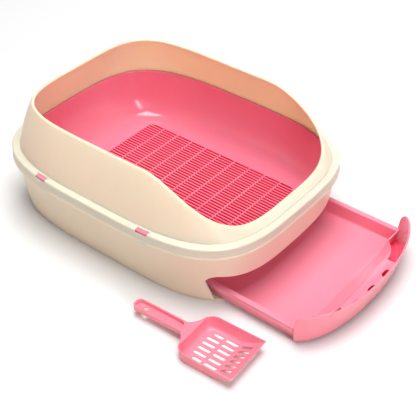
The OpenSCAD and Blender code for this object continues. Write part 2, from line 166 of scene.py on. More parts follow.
def side_reach(half_x: float, half_y: float, power: float, y: float) -> float:
    """Half width of a squared ellipse at a distance y from its middle."""
    return half_x * (1 - (abs(y) / half_y) ** power) ** (1 / power)


def full_turn() -> np.ndarray:
    """Equal polar parameters round one turn."""
    return np.arange(AROUND) * 2 * math.pi / AROUND


def level(half_x: float, half_y: float, power: float, height: np.ndarray | float) -> Loop:
    """One closed squared ellipse at a height.

    Args:
        half_x: Half size across.
        half_y: Half size along.
        power: Squareness of the corners.
        height: One height, or one for each point.

    Returns:
        An (N, 3) loop.
    """
    return lift(squircle(half_x, half_y, power, full_turn()), height)


def lift(plan: np.ndarray, height: np.ndarray | float) -> Loop:
    """Plan points set at a height.

    Args:
        plan: (N, 2) points.
        height: One height, or one for each point.

    Returns:
        An (N, 3) loop.
    """
    return np.column_stack([plan, np.broadcast_to(height, len(plan))])


# ---------------------------------------------------------------- mesh helpers


def skin(loops: Sequence[Loop], closed: bool) -> tuple[np.ndarray, list[list[int]]]:
    """Quads between stacked loops of equal length.

    Args:
        loops: Loops, the outside of the solid first going up, then its inside going down.
        closed: Join the last loop to the first, or else cap both ends.

    Returns:
        Vertices and faces of a closed solid.
    """
    rows, count = len(loops), len(loops[0])
    faces = []
    for row in range(rows if closed else rows - 1):
        a, b = row * count, ((row + 1) % rows) * count
        for i in range(count):
            j = (i + 1) % count
            faces.append([a + i, a + j, b + j, b + i])
    if not closed:
        faces.append(list(range(count - 1, -1, -1)))
        faces.append([(rows - 1) * count + i for i in range(count)])
    return np.concatenate(loops), faces


def add_object(name: str, data: bpy.types.ID) -> bpy.types.Object:
    """Adds an object to the scene, at the origin.

    Args:
        name: Object name.
        data: The mesh, lamp or camera that it holds.

    Returns:
        The object.
    """
    made = bpy.data.objects.new(name, data)
    bpy.context.scene.collection.objects.link(made)
    return made


def new_piece(name: str, vertices: np.ndarray, faces: Sequence[Sequence[int]]) -> bpy.types.Object:
    """A mesh object at the origin with its faces turned outward.

    Args:
        name: Object name.
        vertices: (N, 3) points in metres.
        faces: Corner indices of each face.

    Returns:
        The new object, linked to the scene.
    """
    mesh = bpy.data.meshes.new(name)
    mesh.from_pydata([tuple(map(float, v)) for v in vertices], [], [list(f) for f in faces])
    piece = add_object(name, mesh)
    turn_outward(piece)
    return piece


def turn_outward(piece: bpy.types.Object) -> None:
    """Merges doubled points of a closed mesh and turns its faces so that they point out.

    Args:
        piece: The mesh to mend.
    """
    shape = bmesh.new()
    shape.from_mesh(piece.data)
    bmesh.ops.remove_doubles(shape, verts=shape.verts, dist=1e-7)
    bmesh.ops.recalc_face_normals(shape, faces=shape.faces)
    shape.to_mesh(piece.data)
    shape.free()


def bake_modifiers(piece: bpy.types.Object) -> bpy.types.Object:
    """Replaces a piece's mesh by its evaluated one and clears its modifiers.

    Args:
        piece: The piece to bake.

    Returns:
        The same piece.
    """
    bpy.context.view_layer.update()
    evaluated = piece.evaluated_get(bpy.context.evaluated_depsgraph_get())
    mesh = bpy.data.meshes.new_from_object(evaluated)
    piece.modifiers.clear()
    piece.data = mesh
    return piece


def discard(piece: bpy.types.Object) -> None:
    """Removes a helper object."""
    bpy.data.objects.remove(piece, do_unlink=True)


def combine(piece: bpy.types.Object, tool: bpy.types.Object, how: Cut) -> bpy.types.Object:
    """Cuts, clips or joins one closed mesh with another and removes the other.

    Args:
        piece: The mesh that is kept.
        tool: The mesh that works on it.
        how: What the tool does.

    Returns:
        The kept piece.
    """
    modifier = piece.modifiers.new("combine", "BOOLEAN")
    modifier.operation = how.value
    modifier.solver = "EXACT"
    modifier.object = tool
    bake_modifiers(piece)
    discard(tool)
    return piece


def prism(name: str, outline: Sequence[Point], low: float, high: float,
          place: Callable[[float, float, float], Place] = lambda u, v, depth: (u, v, depth)
          ) -> bpy.types.Object:
    """A straight prism over an outline.

    Args:
        name: Object name.
        outline: Points of the outline, in order.
        low: Start of the extrusion.
        high: End of the extrusion.
        place: Maps (u, v, depth) to a point; by default to (x, y, z).

    Returns:
        The prism as an object.
    """
    loops = [np.array([place(u, v, depth) for u, v in outline]) for depth in (low, high)]
    return new_piece(name, *skin(loops, closed=False))


def soften(piece: bpy.types.Object, width: float, segments: int = 2, angle: float = 35.0) -> None:
    """Rounds the sharp edges of a piece.

    Args:
        piece: The mesh to round.
        width: Width of the rounding.
        segments: Facets across the rounding.
        angle: Edges sharper than this many degrees are rounded.
    """
    modifier = piece.modifiers.new("round", "BEVEL")
    modifier.width = width
    modifier.segments = segments
    modifier.limit_method = "ANGLE"
    modifier.angle_limit = math.radians(angle)
    modifier.use_clamp_overlap = True
    modifier.harden_normals = False
    bake_modifiers(piece)


def shade(piece: bpy.types.Object, crease: float = 32.0) -> None:
    """Smooth shading with creases at sharp edges.

    Args:
        piece: The mesh to shade.
        crease: Edges sharper than this many degrees stay crisp.
    """
    piece.data.shade_smooth()
    piece.data.set_sharp_from_angle(angle=math.radians(crease))


def join(name: str, pieces: Sequence[bpy.types.Object]) -> bpy.types.Object:
    """Joins closed meshes into one object.

    Args:
        name: Name of the result.
        pieces: Meshes at the origin; they are removed.

    Returns:
        The joined object.
    """
    shape = bmesh.new()
    for piece in pieces:
        shape.from_mesh(piece.data)
    mesh = bpy.data.meshes.new(name)
    shape.to_mesh(mesh)
    shape.free()
    for piece in pieces:
        discard(piece)
    return add_object(name, mesh)


def arc(centre: Point, radius: float, start: float, end: float, steps: int) -> list[Point]:
    """Points along a circular arc.

    Args:
        centre: Centre of the arc.
        radius: Its radius.
        start: First angle in degrees.
        end: Last angle in degrees.
        steps: Number of chords.

    Returns:
        The points, ends included.
    """
    turns = [math.radians(start + (end - start) * i / steps) for i in range(steps + 1)]
    return [(centre[0] + radius * math.cos(t), centre[1] + radius * math.sin(t)) for t in turns]


def mirrored(points: Sequence[Point], side: int) -> list[Point]:
    """Plan points on the right side, or their mirror images for side -1."""
    return [(side * x, y) for x, y in points]


# ---------------------------------------------------------------- node trees


class NodeMaker:
    """Adds nodes to a tree and feeds their inputs."""

    def __init__(self, tree: bpy.types.NodeTree) -> None:
        """Takes the tree to work on."""
        self.tree = tree

    def node(self, kind: str, inputs: dict[str | int, object] | None = None,
             **settings: object) -> bpy.types.Node:
        """A new node.

        Args:
            kind: Blender's name of the node.
            inputs: What goes into its inputs, by name or number.
            settings: Its properties.

        Returns:
            The node.
        """
        made = self.tree.nodes.new(kind)
        for key, value in settings.items():
            setattr(made, key, value)
        self.feed(made, inputs or {})
        return made

    def feed(self, node: bpy.types.Node, inputs: dict[str | int, object]) -> None:
        """Links sockets to a node's inputs and sets the other inputs to plain values.

        Args:
            node: The node to feed.
            inputs: A socket or a value for each input, by name or number.
        """
        for key, value in inputs.items():
            if isinstance(value, bpy.types.NodeSocket):
                self.tree.links.new(value, node.inputs[key])
            else:
                node.inputs[key].default_value = value

    def math(self, operation: str, *values: object) -> bpy.types.NodeSocket:
        """The result of a Math node that is fed sockets or numbers, in order."""
        return self.node("ShaderNodeMath", dict(enumerate(values)), operation=operation).outputs[0]

    def vector(self, **parts: bpy.types.NodeSocket) -> bpy.types.NodeSocket:
        """A vector of the parts X, Y and Z, where a part that isn't given is 0."""
        return self.node("ShaderNodeCombineXYZ", parts).outputs[0]

    def position(self) -> bpy.types.bpy_prop_collection:
        """The X, Y and Z of each point of a shape."""
        place = self.node("GeometryNodeInputPosition").outputs[0]
        return self.node("ShaderNodeSeparateXYZ", {0: place}).outputs


class GroupMaker(NodeMaker):
    """Builds one node group with named inputs and outputs."""

    def __init__(self, name: str, kind: str, inputs: dict[str, Socket], outputs: dict[str, Socket]) -> None:
        """Starts the group.

        Args:
            name: Name of the group.
            kind: Blender's name of this kind of tree.
            inputs: The kind of each input.
            outputs: The kind of each output.
        """
        super().__init__(bpy.data.node_groups.new(name, kind))
        for way, sockets in (("INPUT", inputs), ("OUTPUT", outputs)):
            for label, socket in sockets.items():
                self.tree.interface.new_socket(label, in_out=way, socket_type=socket.value)
        self.get = self.node("NodeGroupInput").outputs
        self.leave = self.node("NodeGroupOutput")


class ShapeMaker(GroupMaker):
    """Builds one Geometry Nodes tree."""

    def __init__(self, name: str, *sizes: str) -> None:
        """Starts a tree with a Count, sizes and a Material as its inputs.

        Args:
            name: Name of the tree.
            sizes: Names of the sizes.
        """
        inputs = {size: Socket.NUMBER for size in sizes}
        inputs |= {"Count": Socket.WHOLE, "Material": Socket.MATERIAL}
        super().__init__(name, "GeometryNodeTree", inputs, {"Geometry": Socket.SHAPE})

    def finish(self, geometry: bpy.types.NodeSocket) -> bpy.types.NodeTree:
        """Ends the tree in Realize Instances and Set Material.

        Args:
            geometry: The geometry to put out.

        Returns:
            The tree.
        """
        realize = self.node("GeometryNodeRealizeInstances", {"Geometry": geometry})
        paint = self.node("GeometryNodeSetMaterial", {
            "Geometry": realize.outputs["Geometry"], "Material": self.get["Material"]})
        self.feed(self.leave, {"Geometry": paint.outputs["Geometry"]})
        return self.tree


def grow(name: str, tree: bpy.types.NodeTree, values: dict[str, object]) -> bpy.types.Object:
    """Runs a Geometry Nodes tree and keeps its result as a plain mesh.

    Args:
        name: Name of the new object.
        tree: The tree to run.
        values: Input values by name; a size that isn't given is 0.

    Returns:
        An object at the origin with the resulting mesh.
    """
    piece = add_object(name, bpy.data.meshes.new(name))
    modifier = piece.modifiers.new("grow", "NODES")
    modifier.node_group = tree
    for item in tree.interface.items_tree:
        if item.in_out == "INPUT" and item.name in values:
            modifier[item.identifier] = values[item.name]
    return bake_modifiers(piece)


def crowned_bar(maker: ShapeMaker) -> bpy.types.NodeSocket:
    """A bar of unit size along Y, whose profile is a circle pressed square.

    Args:
        maker: The tree that the bar's nodes go into.

    Returns:
        The bar's mesh.
    """
    around, half = 12, 0.5
    stretch = {"X": 1.9, "Y": 1.4}
    circle = maker.node("GeometryNodeCurvePrimitiveCircle", {
        "Resolution": around, "Radius": half}, mode="RADIUS")
    place = maker.position()
    pressed = {}
    for axis, factor in stretch.items():
        wide = maker.math("MULTIPLY", place[axis], factor)
        pressed[axis] = maker.math("MINIMUM", maker.math("MAXIMUM", wide, -half), half)
    profile = maker.node("GeometryNodeSetPosition", {
        "Geometry": circle.outputs["Curve"], "Position": maker.vector(**pressed)})
    path = maker.node("GeometryNodeCurvePrimitiveLine", {
        "Start": (0.0, -half, 0.0), "End": (0.0, half, 0.0)}, mode="POINTS")
    sweep = maker.node("GeometryNodeCurveToMesh", {
        "Curve": path.outputs["Curve"], "Profile Curve": profile.outputs["Geometry"], "Fill Caps": True})
    return sweep.outputs["Mesh"]


def bar_row_tree() -> bpy.types.NodeTree:
    """Tree for a row of parallel bars clipped to a rounded rectangle.

    The bars run along Y and are set out along X; Turn swings the whole row about Z.

    Returns:
        The tree, with its sizes as named inputs.
    """
    maker = ShapeMaker("Row of bars", "Pitch", "Width", "Depth", "Top", "Half Length", "Half Width", "Corner",
                       "Turn")
    get, corner = maker.get, maker.get["Corner"]
    start = maker.math("MULTIPLY", maker.math("SUBTRACT", get["Count"], 1.0), -0.5)
    start = maker.math("MULTIPLY", start, get["Pitch"])
    line = maker.node("GeometryNodeMeshLine", {
        "Count": get["Count"], "Start Location": maker.vector(X=start),
        "Offset": maker.vector(X=get["Pitch"])}, mode="OFFSET")
    # Length of each bar, shorter where it runs into a rounded corner
    from_middle = maker.math("ABSOLUTE", maker.position()["X"])
    over = maker.math("SUBTRACT", from_middle, maker.math("SUBTRACT", get["Half Width"], corner))
    over = maker.math("MINIMUM", maker.math("MAXIMUM", over, 0.0), corner)
    squared = maker.math("SUBTRACT", maker.math("POWER", corner, 2.0), maker.math("POWER", over, 2.0))
    straight = maker.math("SUBTRACT", get["Half Length"], corner)
    length = maker.math("MULTIPLY", maker.math("ADD", straight, maker.math("SQRT", squared)), 2.0)
    bars = maker.node("GeometryNodeInstanceOnPoints", {
        "Points": line.outputs["Mesh"], "Instance": crowned_bar(maker),
        "Scale": maker.vector(X=get["Width"], Y=length, Z=get["Depth"])})
    middle = maker.math("MULTIPLY_ADD", get["Depth"], -0.5, get["Top"])
    placed = maker.node("GeometryNodeTransform", {
        "Geometry": bars.outputs["Instances"], "Translation": maker.vector(Z=middle),
        "Rotation": maker.vector(Z=get["Turn"])})
    return maker.finish(placed.outputs["Geometry"])


def slot_row_tree() -> bpy.types.NodeTree:
    """Tree for a row of round-cornered blocks that cut slots.

    Returns:
        The tree, with its sizes as named inputs.
    """
    maker = ShapeMaker("Row of slots", "Pitch", "Slot Width", "Slot Length", "Height", "Corner")
    get = maker.get
    across = maker.math("MULTIPLY", maker.math("SUBTRACT", get["Count"], 1.0), get["Pitch"])
    row = maker.node("GeometryNodeMeshGrid", {
        "Vertices X": get["Count"], "Vertices Y": 1, "Size X": across, "Size Y": 0.0})
    outline = maker.node("GeometryNodeCurvePrimitiveQuadrilateral", {
        "Width": get["Slot Width"], "Height": get["Slot Length"]})
    rounded = maker.node("GeometryNodeFilletCurve", {
        "Curve": outline.outputs["Curve"], "Count": 5, "Radius": get["Corner"]}, mode="POLY")
    low = maker.node("GeometryNodeFillCurve", {"Curve": rounded.outputs["Curve"]}, mode="NGONS")
    high = maker.node("GeometryNodeExtrudeMesh", {
        "Mesh": low.outputs["Mesh"], "Offset Scale": get["Height"], "Individual": False}, mode="FACES")
    under = maker.node("GeometryNodeFlipFaces", {"Mesh": low.outputs["Mesh"]})
    block = maker.node("GeometryNodeJoinGeometry")
    for part in (high, under):
        maker.feed(block, {"Geometry": part.outputs["Mesh"]})
    welded = maker.node("GeometryNodeMergeByDistance", {
        "Geometry": block.outputs["Geometry"], "Distance": 1e-6})
    blocks = maker.node("GeometryNodeInstanceOnPoints", {
        "Points": row.outputs["Mesh"], "Instance": welded.outputs["Geometry"]})
    return maker.finish(blocks.outputs["Instances"])


# ---------------------------------------------------------------- finishes


def linear(red: float, green: float, blue: float) -> tuple[float, float, float, float]:
    """A display colour, 0 to 255 a channel, as scene linear values."""
    def channel(value: float) -> float:
        """One channel of it."""
        share = value / 255
        return share / 12.92 if share <= 0.04045 else ((share + 0.055) / 1.055) ** 2.4
    return channel(red), channel(green), channel(blue), 1.0


def moulding_grain_group() -> bpy.types.NodeTree:
    """Shader group for the faint unevenness of a polished moulding.

    Returns:
        The group, with a Roughness value and a Height for a Bump node.
    """
    grain_scale, flow_scale = 900.0, 14.0
    number = Socket.NUMBER
    maker = GroupMaker("Moulding grain", "ShaderNodeTree",
                       {"Roughness Base": number, "Roughness Spread": number},
                       {"Roughness": number, "Height": number})
    place = maker.node("ShaderNodeTexCoord").outputs["Object"]
    grain = maker.node("ShaderNodeTexNoise", {"Vector": place, "Scale": grain_scale, "Detail": 1.0})
    flow = maker.node("ShaderNodeTexNoise", {"Vector": place, "Scale": flow_scale, "Detail": 3.0})
    centred = maker.math("SUBTRACT", flow.outputs["Fac"], 0.5)
    base, spread = maker.get["Roughness Base"], maker.get["Roughness Spread"]
    roughness = maker.math("MULTIPLY_ADD", centred, spread, base)
    maker.feed(maker.leave, {"Roughness": roughness, "Height": grain.outputs["Fac"]})
    return maker.tree


@dataclass(frozen=True)
class Plastic:
    """Finish of one moulded plastic, or of a copy of it in painted shade."""

    name: str
    slot: str
    colour: Colour
    roughness: float = 0.3
    spread: float = 0.06
    refractive_index: float = 1.5
    coat: float = 0.0
    coat_roughness: float = 0.035
    grain: float = 0.03
    grain_depth: float = 0.4 * MM
    glow: float = 0.0
    glow_radius: Colour = (1.0, 0.2, 0.25)
    glow_depth: float = 4.0 * MM

    def build(self, grain_group: bpy.types.NodeTree) -> bpy.types.Material:
        """Makes the material.

        Args:
            grain_group: The shared moulding grain group.

        Returns:
            The Blender material.
        """
        material = bpy.data.materials.new(self.name)
        material.use_nodes = True
        maker = NodeMaker(material.node_tree)
        uneven = maker.node("ShaderNodeGroup", {
            "Roughness Base": self.roughness, "Roughness Spread": self.spread}, node_tree=grain_group)
        bump = maker.node("ShaderNodeBump", {
            "Strength": self.grain, "Distance": self.grain_depth, "Height": uneven.outputs["Height"]})
        shader = material.node_tree.nodes["Principled BSDF"]
        maker.feed(shader, {
            "Base Color": linear(*self.colour), "IOR": self.refractive_index,
            "Roughness": uneven.outputs["Roughness"], "Normal": bump.outputs["Normal"],
            "Coat Weight": self.coat, "Coat Roughness": self.coat_roughness})
        if self.glow:
            maker.feed(shader, {
                "Subsurface Weight": self.glow, "Subsurface Radius": self.glow_radius,
                "Subsurface Scale": self.glow_depth})
        return material


CREAM = Plastic("Cream plastic", "cream_plastic", (240, 220, 199), roughness=0.36, glow=0.6,
                glow_radius=(1.0, 0.78, 0.5), glow_depth=6.0 * MM)
RING_CREAM = Plastic("Cream plastic, thin wall", "cream_plastic", (236, 224, 199), roughness=0.34,
                     glow=0.8, glow_radius=(1.0, 0.9, 0.56), glow_depth=9.5 * MM)
DEEP_PINK = Plastic("Deep pink plastic", "deep_pink_plastic", (253, 136, 160), roughness=0.18, coat=0.5,
                    glow=0.4, glow_depth=5.0 * MM)
# Darker, redder copy of the deep pink plastic for the sieve bars' flanks: painted shade deep in the slots.
SLOT_SHADE_PINK = Plastic("Deep pink plastic, painted slot shade", "deep_pink_plastic", (248, 26, 70), roughness=0.4,
                    glow=0.9, glow_radius=(1.0, 0.06, 0.1), glow_depth=7.0 * MM)
PINK = Plastic("Pink plastic", "pink_plastic", (252, 146, 168), roughness=0.24, coat=0.2, glow=0.25)
# Deeper copy of the pink plastic for the pocket floor: painted shade in the pocket between the tray and the
# front.
POCKET_SHADE_PINK = Plastic("Pink plastic, pocket floor in painted shade", "pink_plastic", (254, 92, 122), roughness=0.3,
                      glow=0.5, glow_radius=(1.0, 0.1, 0.14), glow_depth=6.0 * MM)
SCOOP_PINK = Plastic("Scoop plastic", "scoop_plastic", (248, 135, 156), roughness=0.24, coat=0.2)


class Paintbox:
    """Makes each finish once and dresses pieces in it."""

    def __init__(self) -> None:
        """Builds the shared shader group."""
        self.grain = moulding_grain_group()
        self.made: dict[str, bpy.types.Material] = {}

    def material(self, finish: Plastic) -> bpy.types.Material:
        """The material of a finish, made on first use."""
        if finish.name not in self.made:
            self.made[finish.name] = finish.build(self.grain)
        return self.made[finish.name]

    def dress(self, piece: bpy.types.Object, finish: Plastic, body: Body, *nodes: str) -> bpy.types.Object:
        """Gives a piece its finish, its body and the nodes it stands for.

        Args:
            piece: The finished mesh object.
            finish: What it is moulded in, or a copy of that in painted shade.
            body: The body that it rides on.
            nodes: Nodes of the frame that it stands for.

        Returns:
            The piece.
        """
        piece.data.materials.clear()
        piece.data.materials.append(self.material(finish))
        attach(piece, body.value)
        if nodes:
            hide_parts(*nodes)
        LOG.info("%s: %d faces on body %s", piece.name, len(piece.data.polygons), body.value)
        return piece


# ---------------------------------------------------------------- splash ring


@dataclass
class Outline:
    """Plan sizes that the stacked shells share; the ring's box comes from the frame."""

    bead: float = 0.8 * MM
    skirt: float = 1.8 * MM
    flange: float = 12.5 * MM
    power: float = 3.6
    ring_x: float = field(init=False)
    ring_y: float = field(init=False)
    rim_top: float = field(init=False)
    lobe_low: float = field(init=False)

    def __post_init__(self) -> None:
        """Reads the splash ring's box."""
        low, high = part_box("splash_ring")
        self.ring_x = high.x - self.bead
        self.ring_y = high.y - self.bead
        self.rim_top = high.z
        self.lobe_low = low.z

    @property
    def groove_x(self) -> float:
        """Half width of the groove line at the foot of the ring's wall."""
        return self.ring_x - self.flange

    @property
    def groove_y(self) -> float:
        """Half length of the groove line."""
        return self.ring_y - self.flange


@dataclass
class SplashRing:
    """Upper ring: skirt, flange, grooved foot and a wall that sweeps low at the entry."""

    plan: Outline
    flange_top: float = 119.8 * MM
    flange_depth: float = 2.7 * MM
    flange_radius: float = 2.6 * MM
    shoulder_drop: float = 8 * MM
    wall: float = 2.7 * MM
    rim: float = 6.0 * MM
    rim_slack: float = 0.2 * MM
    rim_lift: float = 0.14
    roll: float = 8.4 * MM
    lobe: float = 5.5 * MM
    entry_height: float = 124.5 * MM
    sweep: float = 155 * MM
    lead: float = 0.524
    inset_high: float = 34.4 * MM
    inset_low: float = 18.2 * MM
    bulge: float = 3.0 * MM
    rim_square: float = 0.9
    clip_at: float = 107.5 * MM
    clip_shift: float = 4.0 * MM
    clip_half: float = 11 * MM
    clip_depth: float = 5.8 * MM
    window_drop: float = 5.8 * MM
    window_reach: float = 3 * MM
    tab_inset: float = 0.25 * MM
    tab_overlap: float = 2 * MM
    play: float = 0.5 * MM
    # Share of the bead's depth, and height in mm above the skirt's lower edge
    bead_profile: tuple[Point, ...] = (
        (0.5, 0.0), (1.0, 0.4), (1.0, 2.4), (0.6, 3.1), (0.15, 3.6), (0.0, 4.2))
    # Both in mm: distance outside the groove line, and depth below the flange's top
    groove_profile: tuple[Point, ...] = ((5.5, 0.0), (1.9, 0.0), (1.4, 0.25), (1.0, 0.9), (0.45, 0.8))
    skirt_low: float = field(init=False)

    def __post_init__(self) -> None:
        """Works out the skirt's lower edge from the tabs under it."""
        self.skirt_low = self.plan.lobe_low + self.lobe

    def rim_height(self, y: np.ndarray) -> np.ndarray:
        """Height of the rim above points of the groove line.

        Args:
            y: Places along the box.

        Returns:
            The rim's height at each.
        """
        start = -self.plan.groove_y - self.lead * self.sweep
        end = -self.plan.groove_y + self.sweep
        share = float(smooth_step((-self.plan.groove_y - start) / (end - start)))
        low = (self.entry_height - self.plan.rim_top * share) / (1 - share)
        return low + (self.plan.rim_top - low) * smooth_step((y - start) / (end - start))

    def wall_loop(self, share: float, shift: float, depth: float, foot: bool = False) -> Loop:
        """One loop that follows the wall.

        Args:
            share: Share of the way from the groove to the rim.
            shift: Distance added to that.
            depth: Depth behind the outer face.
            foot: Take the loop where the inner face meets the flange's underside.

        Returns:
            The loop.
        """
        angles = full_turn()
        rim = self.rim_height(squircle(self.plan.groove_x, self.plan.groove_y, self.plan.power, angles)[:, 1])
        slope = (self.inset_high - self.inset_low) / (self.plan.rim_top - self.entry_height)
        inset = self.inset_low + slope * (rim - self.entry_height)
        up = rim - self.flange_top
        lean = inset - (self.rim - self.rim_slack) * up / np.hypot(inset, up)
        rise = up + self.rim * self.rim_lift
        length = np.hypot(lean, rise)
        across, height = lean / length, rise / length
        along = share * length + shift
        if foot:
            along = (across * self.wall - self.flange_depth) / height
        risen = np.clip(along / length, 0, 1)
        bulge = self.bulge * 4 * risen * (1 - risen) * rise / (self.plan.rim_top - self.flange_top)
        inward = across * along + height * depth - bulge
        power = self.plan.power + self.rim_square * inward / self.inset_high
        plan = squircle(self.plan.groove_x - inward, self.plan.groove_y - inward, power, angles)
        return lift(plan, self.flange_top + height * along - across * depth)

    def shell(self) -> bpy.types.Object:
        """Lofts the whole ring as one closed loop of levels."""
        plan, top, low = self.plan, self.flange_top, self.skirt_low
        edge, radius, middle = plan.flange, self.flange_radius, self.rim / 2

        def around(outset: float, height: float) -> Loop:
            """A loop at a distance outside the groove line."""
            return level(plan.groove_x + outset, plan.groove_y + outset, plan.power, height)

        loops = [around(edge + plan.bead * share, low + up * MM) for share, up in self.bead_profile]
        loops.append(around(edge, top - self.shoulder_drop))
        loops += [around(edge - radius * (1 - math.cos(t)), top - radius * (1 - math.sin(t)))
                  for t in np.linspace(0, math.pi / 2, 7)]
        loops += [around(out * MM, top - down * MM) for out, down in self.groove_profile]
        loops += [self.wall_loop(s, 0, 0) for s in (0, 0.12, 0.25, 0.4, 0.55, 0.7, 0.82)]
        loops += [self.wall_loop(1, -middle + middle * math.sin(t), middle - middle * math.cos(t))
                  for t in np.linspace(0, math.pi, 11)]
        under_roll = ((4.6 * MM, self.rim), (5.6 * MM, self.rim - 0.5 * MM), (7.0 * MM, self.wall + 0.6 * MM),
                      (self.roll, self.wall))
        loops += [self.wall_loop(1, -down, depth) for down, depth in under_roll]
        loops += [self.wall_loop(s, -self.roll * s, self.wall) for s in (0.75, 0.5, 0.25)]
        loops += [self.wall_loop(0, 0, self.wall, foot=True),
                  around(edge - plan.skirt, top - self.flange_depth), around(edge - plan.skirt, low)]
        return new_piece("splash_ring_shell", *skin(loops, closed=True))

    def clip_block(self, name: str, side: int, end: int, outer: float, inner: float, half: float,
                   low: float, high: float) -> bpy.types.Object:
        """A block that follows the curve of the skirt at one clip.

        Args:
            name: Object name.
            side: -1 or 1 for the left or right side.
            end: -1 or 1 for the entry or back end.
            outer: Distance outside the skirt's face.
            inner: Distance inside it.
            half: Half length along the side.
            low: Lower height.
            high: Upper height.

        Returns:
            The block.
        """
        plan = self.plan
        places = [end * self.clip_at + self.clip_shift + half * k / 4 for k in range(-4, 5)]
        reach = [side_reach(plan.ring_x, plan.ring_y, plan.power, y) for y in places]
        outline = [(side * (x + outer), y) for x, y in zip(reach, places)]
        outline += [(side * (x - inner), y) for x, y in zip(reach[::-1], places[::-1])]
        return prism(name, outline, low, high)

    def build(self, paint: Paintbox) -> None:
        """Makes and dresses the ring with its windows and tabs."""
        ring = self.shell()
        skirt, half = self.plan.skirt, self.clip_half
        for side, end in CLIPS:
            window = self.clip_block("window", side, end, self.window_reach,
                                     skirt + self.clip_depth + self.play, half + self.play,
                                     self.flange_top - self.window_drop, self.flange_top + MM)
            combine(ring, window, Cut.REMOVE)
        tabs = []
        for side, end in CLIPS:
            tab = self.clip_block("tab", side, end, -self.tab_inset, skirt - self.tab_inset, half,
                                  self.plan.lobe_low, self.skirt_low + self.tab_overlap)
            soften(tab, SOFT_EDGE)
            tabs.append(tab)
        ring = join("splash_ring_moulding", [ring, *tabs])
        shade(ring)
        paint.dress(ring, RING_CREAM, Body.RING, "splash_ring")


# ---------------------------------------------------------------- base tub


@dataclass
class BaseTub:
    """Lower tub that stands on the floor, with the drawer's mouth and guide ribs."""

    plan: Outline
    side_lean: float = 22 * MM
    end_lean: float = 13.5 * MM
    foot_power: float = 4.2
    shoulder_power: float = 3.5
    wall: float = 2.8 * MM
    floor: float = 3.5 * MM
    floor_radius: float = 6 * MM
    shoulder_drop: float = 13.5 * MM
    foot_radius: float = 3.0 * MM
    mouth_mid: float = 42 * MM
    mouth_arch: float = 14 * MM
    mouth_half_top: float = 163 * MM
    mouth_half_low: float = 150 * MM
    mouth_corner: float = 10 * MM
    mouth_back: float = -130 * MM
    sill_drop: float = 0.3 * MM
    cut_past: float = 20 * MM
    rib_x: float = 141.6 * MM
    rib_wide: float = 2.8 * MM
    rib_top: float = 14 * MM
    rib_front: float = -176 * MM
    stop_x: float = 117 * MM
    stop_deep: float = 3.0 * MM
    travel: float = 140 * MM
    play: float = 0.4 * MM
    # Heights of the straight wall's levels in mm, outside going up and inside going down
    outer_levels: tuple[float, ...] = (12, 25, 40, 55, 70, 85, 98)
    inner_levels: tuple[float, ...] = (98, 70, 40, 20)
    # Both in mm: distance inside the outer face, and depth below the rim
    rim_profile: tuple[Point, ...] = ((0.0, 1.6), (0.3, 0.5), (0.9, 0.0))
    half_x: float = field(init=False)
    half_y: float = field(init=False)
    height: float = field(init=False)
    stop_y: float = field(init=False)

    def __post_init__(self) -> None:
        """Reads the tub's box, and the end stops' place from the drawer's."""
        _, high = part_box("base_tub")
        self.half_x, self.half_y, self.height = high.x, high.y, high.z
        self.stop_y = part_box("drawer_tray")[1].y + self.travel + self.play

    def around(self, inset: float, height: float) -> Loop:
        """A loop on or inside the tub's tapered outer face.

        Args:
            inset: Distance inside the outer face.
            height: Height of the loop.

        Returns:
            The loop.
        """
        below = max(0.0, 1 - height / (self.height - self.shoulder_drop))
        power = self.shoulder_power + (self.foot_power - self.shoulder_power) * below
        return level(self.half_x - self.side_lean * below - inset,
                     self.half_y - self.end_lean * below - inset, power, height)

    def shell(self) -> bpy.types.Object:
        """Lofts the tub from its foot to the rim and down inside."""
        turns = np.linspace(0, math.pi / 2, 6)
        foot, inner = self.foot_radius, self.floor_radius
        loops = [self.around(foot * (1 - math.sin(t)), foot * (1 - math.cos(t))) for t in turns]
        loops += [self.around(0, h * MM) for h in self.outer_levels]
        loops += [self.around(inset * MM, self.height - down * MM) for inset, down in self.rim_profile]
        loops.append(self.around(self.wall, self.height))
        loops += [self.around(self.wall, h * MM) for h in self.inner_levels]
        loops += [self.around(self.wall + inner * (1 - math.cos(t)), self.floor + inner * (1 - math.sin(t)))
                  for t in turns]
        return new_piece("base_tub_moulding", *skin(loops, closed=False))

    def mouth_edge(self, x: float) -> float:
        """Height of the mouth's arched upper edge at a place across it."""
        return self.mouth_mid + self.mouth_arch * (x / self.mouth_half_low) ** 2

    def mouth(self) -> bpy.types.Object:
        """Cutter for the drawer's mouth, a trapezoid with an arched top and rounded corners."""
        bend = self.mouth_half_top - self.mouth_corner
        centre = (bend, self.mouth_edge(bend) - self.mouth_corner)
        right = [(self.mouth_half_low, self.floor - self.sill_drop)]
        right += arc(centre, self.mouth_corner, 0, 90, 8)
        right += [(x, self.mouth_edge(x)) for x in np.linspace(bend, 0, 28)[1:-1]]
        outline = [*right, (0.0, self.mouth_mid), *mirrored(right[::-1], -1)]
        front = -self.half_y - self.cut_past
        return prism("mouth", outline, front, self.mouth_back, lambda u, v, w: (u, w, v))

    def build(self, paint: Paintbox) -> None:
        """Makes and dresses the tub."""
        parts = [combine(self.shell(), self.mouth(), Cut.REMOVE)]
        outer, back = self.rib_x + self.rib_wide, self.stop_y + self.stop_deep
        spans = ((self.rib_x, outer, self.rib_front, back), (self.stop_x, outer, self.stop_y, back))
        for side, (x0, x1, y0, y1) in product(SIDES, spans):
            outline = mirrored([(x0, y0), (x1, y0), (x1, y1), (x0, y1)], side)
            rib = prism("rib", outline, self.floor - MM, self.rib_top)
            soften(rib, SOFT_EDGE)
            parts.append(rib)
        base = join("base_tub_moulding", parts)
        shade(base, 28)
        paint.dress(base, CREAM, Body.BASE, "base_tub")


# ---------------------------------------------------------------- sieve pan


@dataclass(frozen=True)
class BarSection:
    """Section of the bars in one row of the sieve; drop is how far their tops lie below the pan's floor."""

    width: float
    depth: float
    drop: float


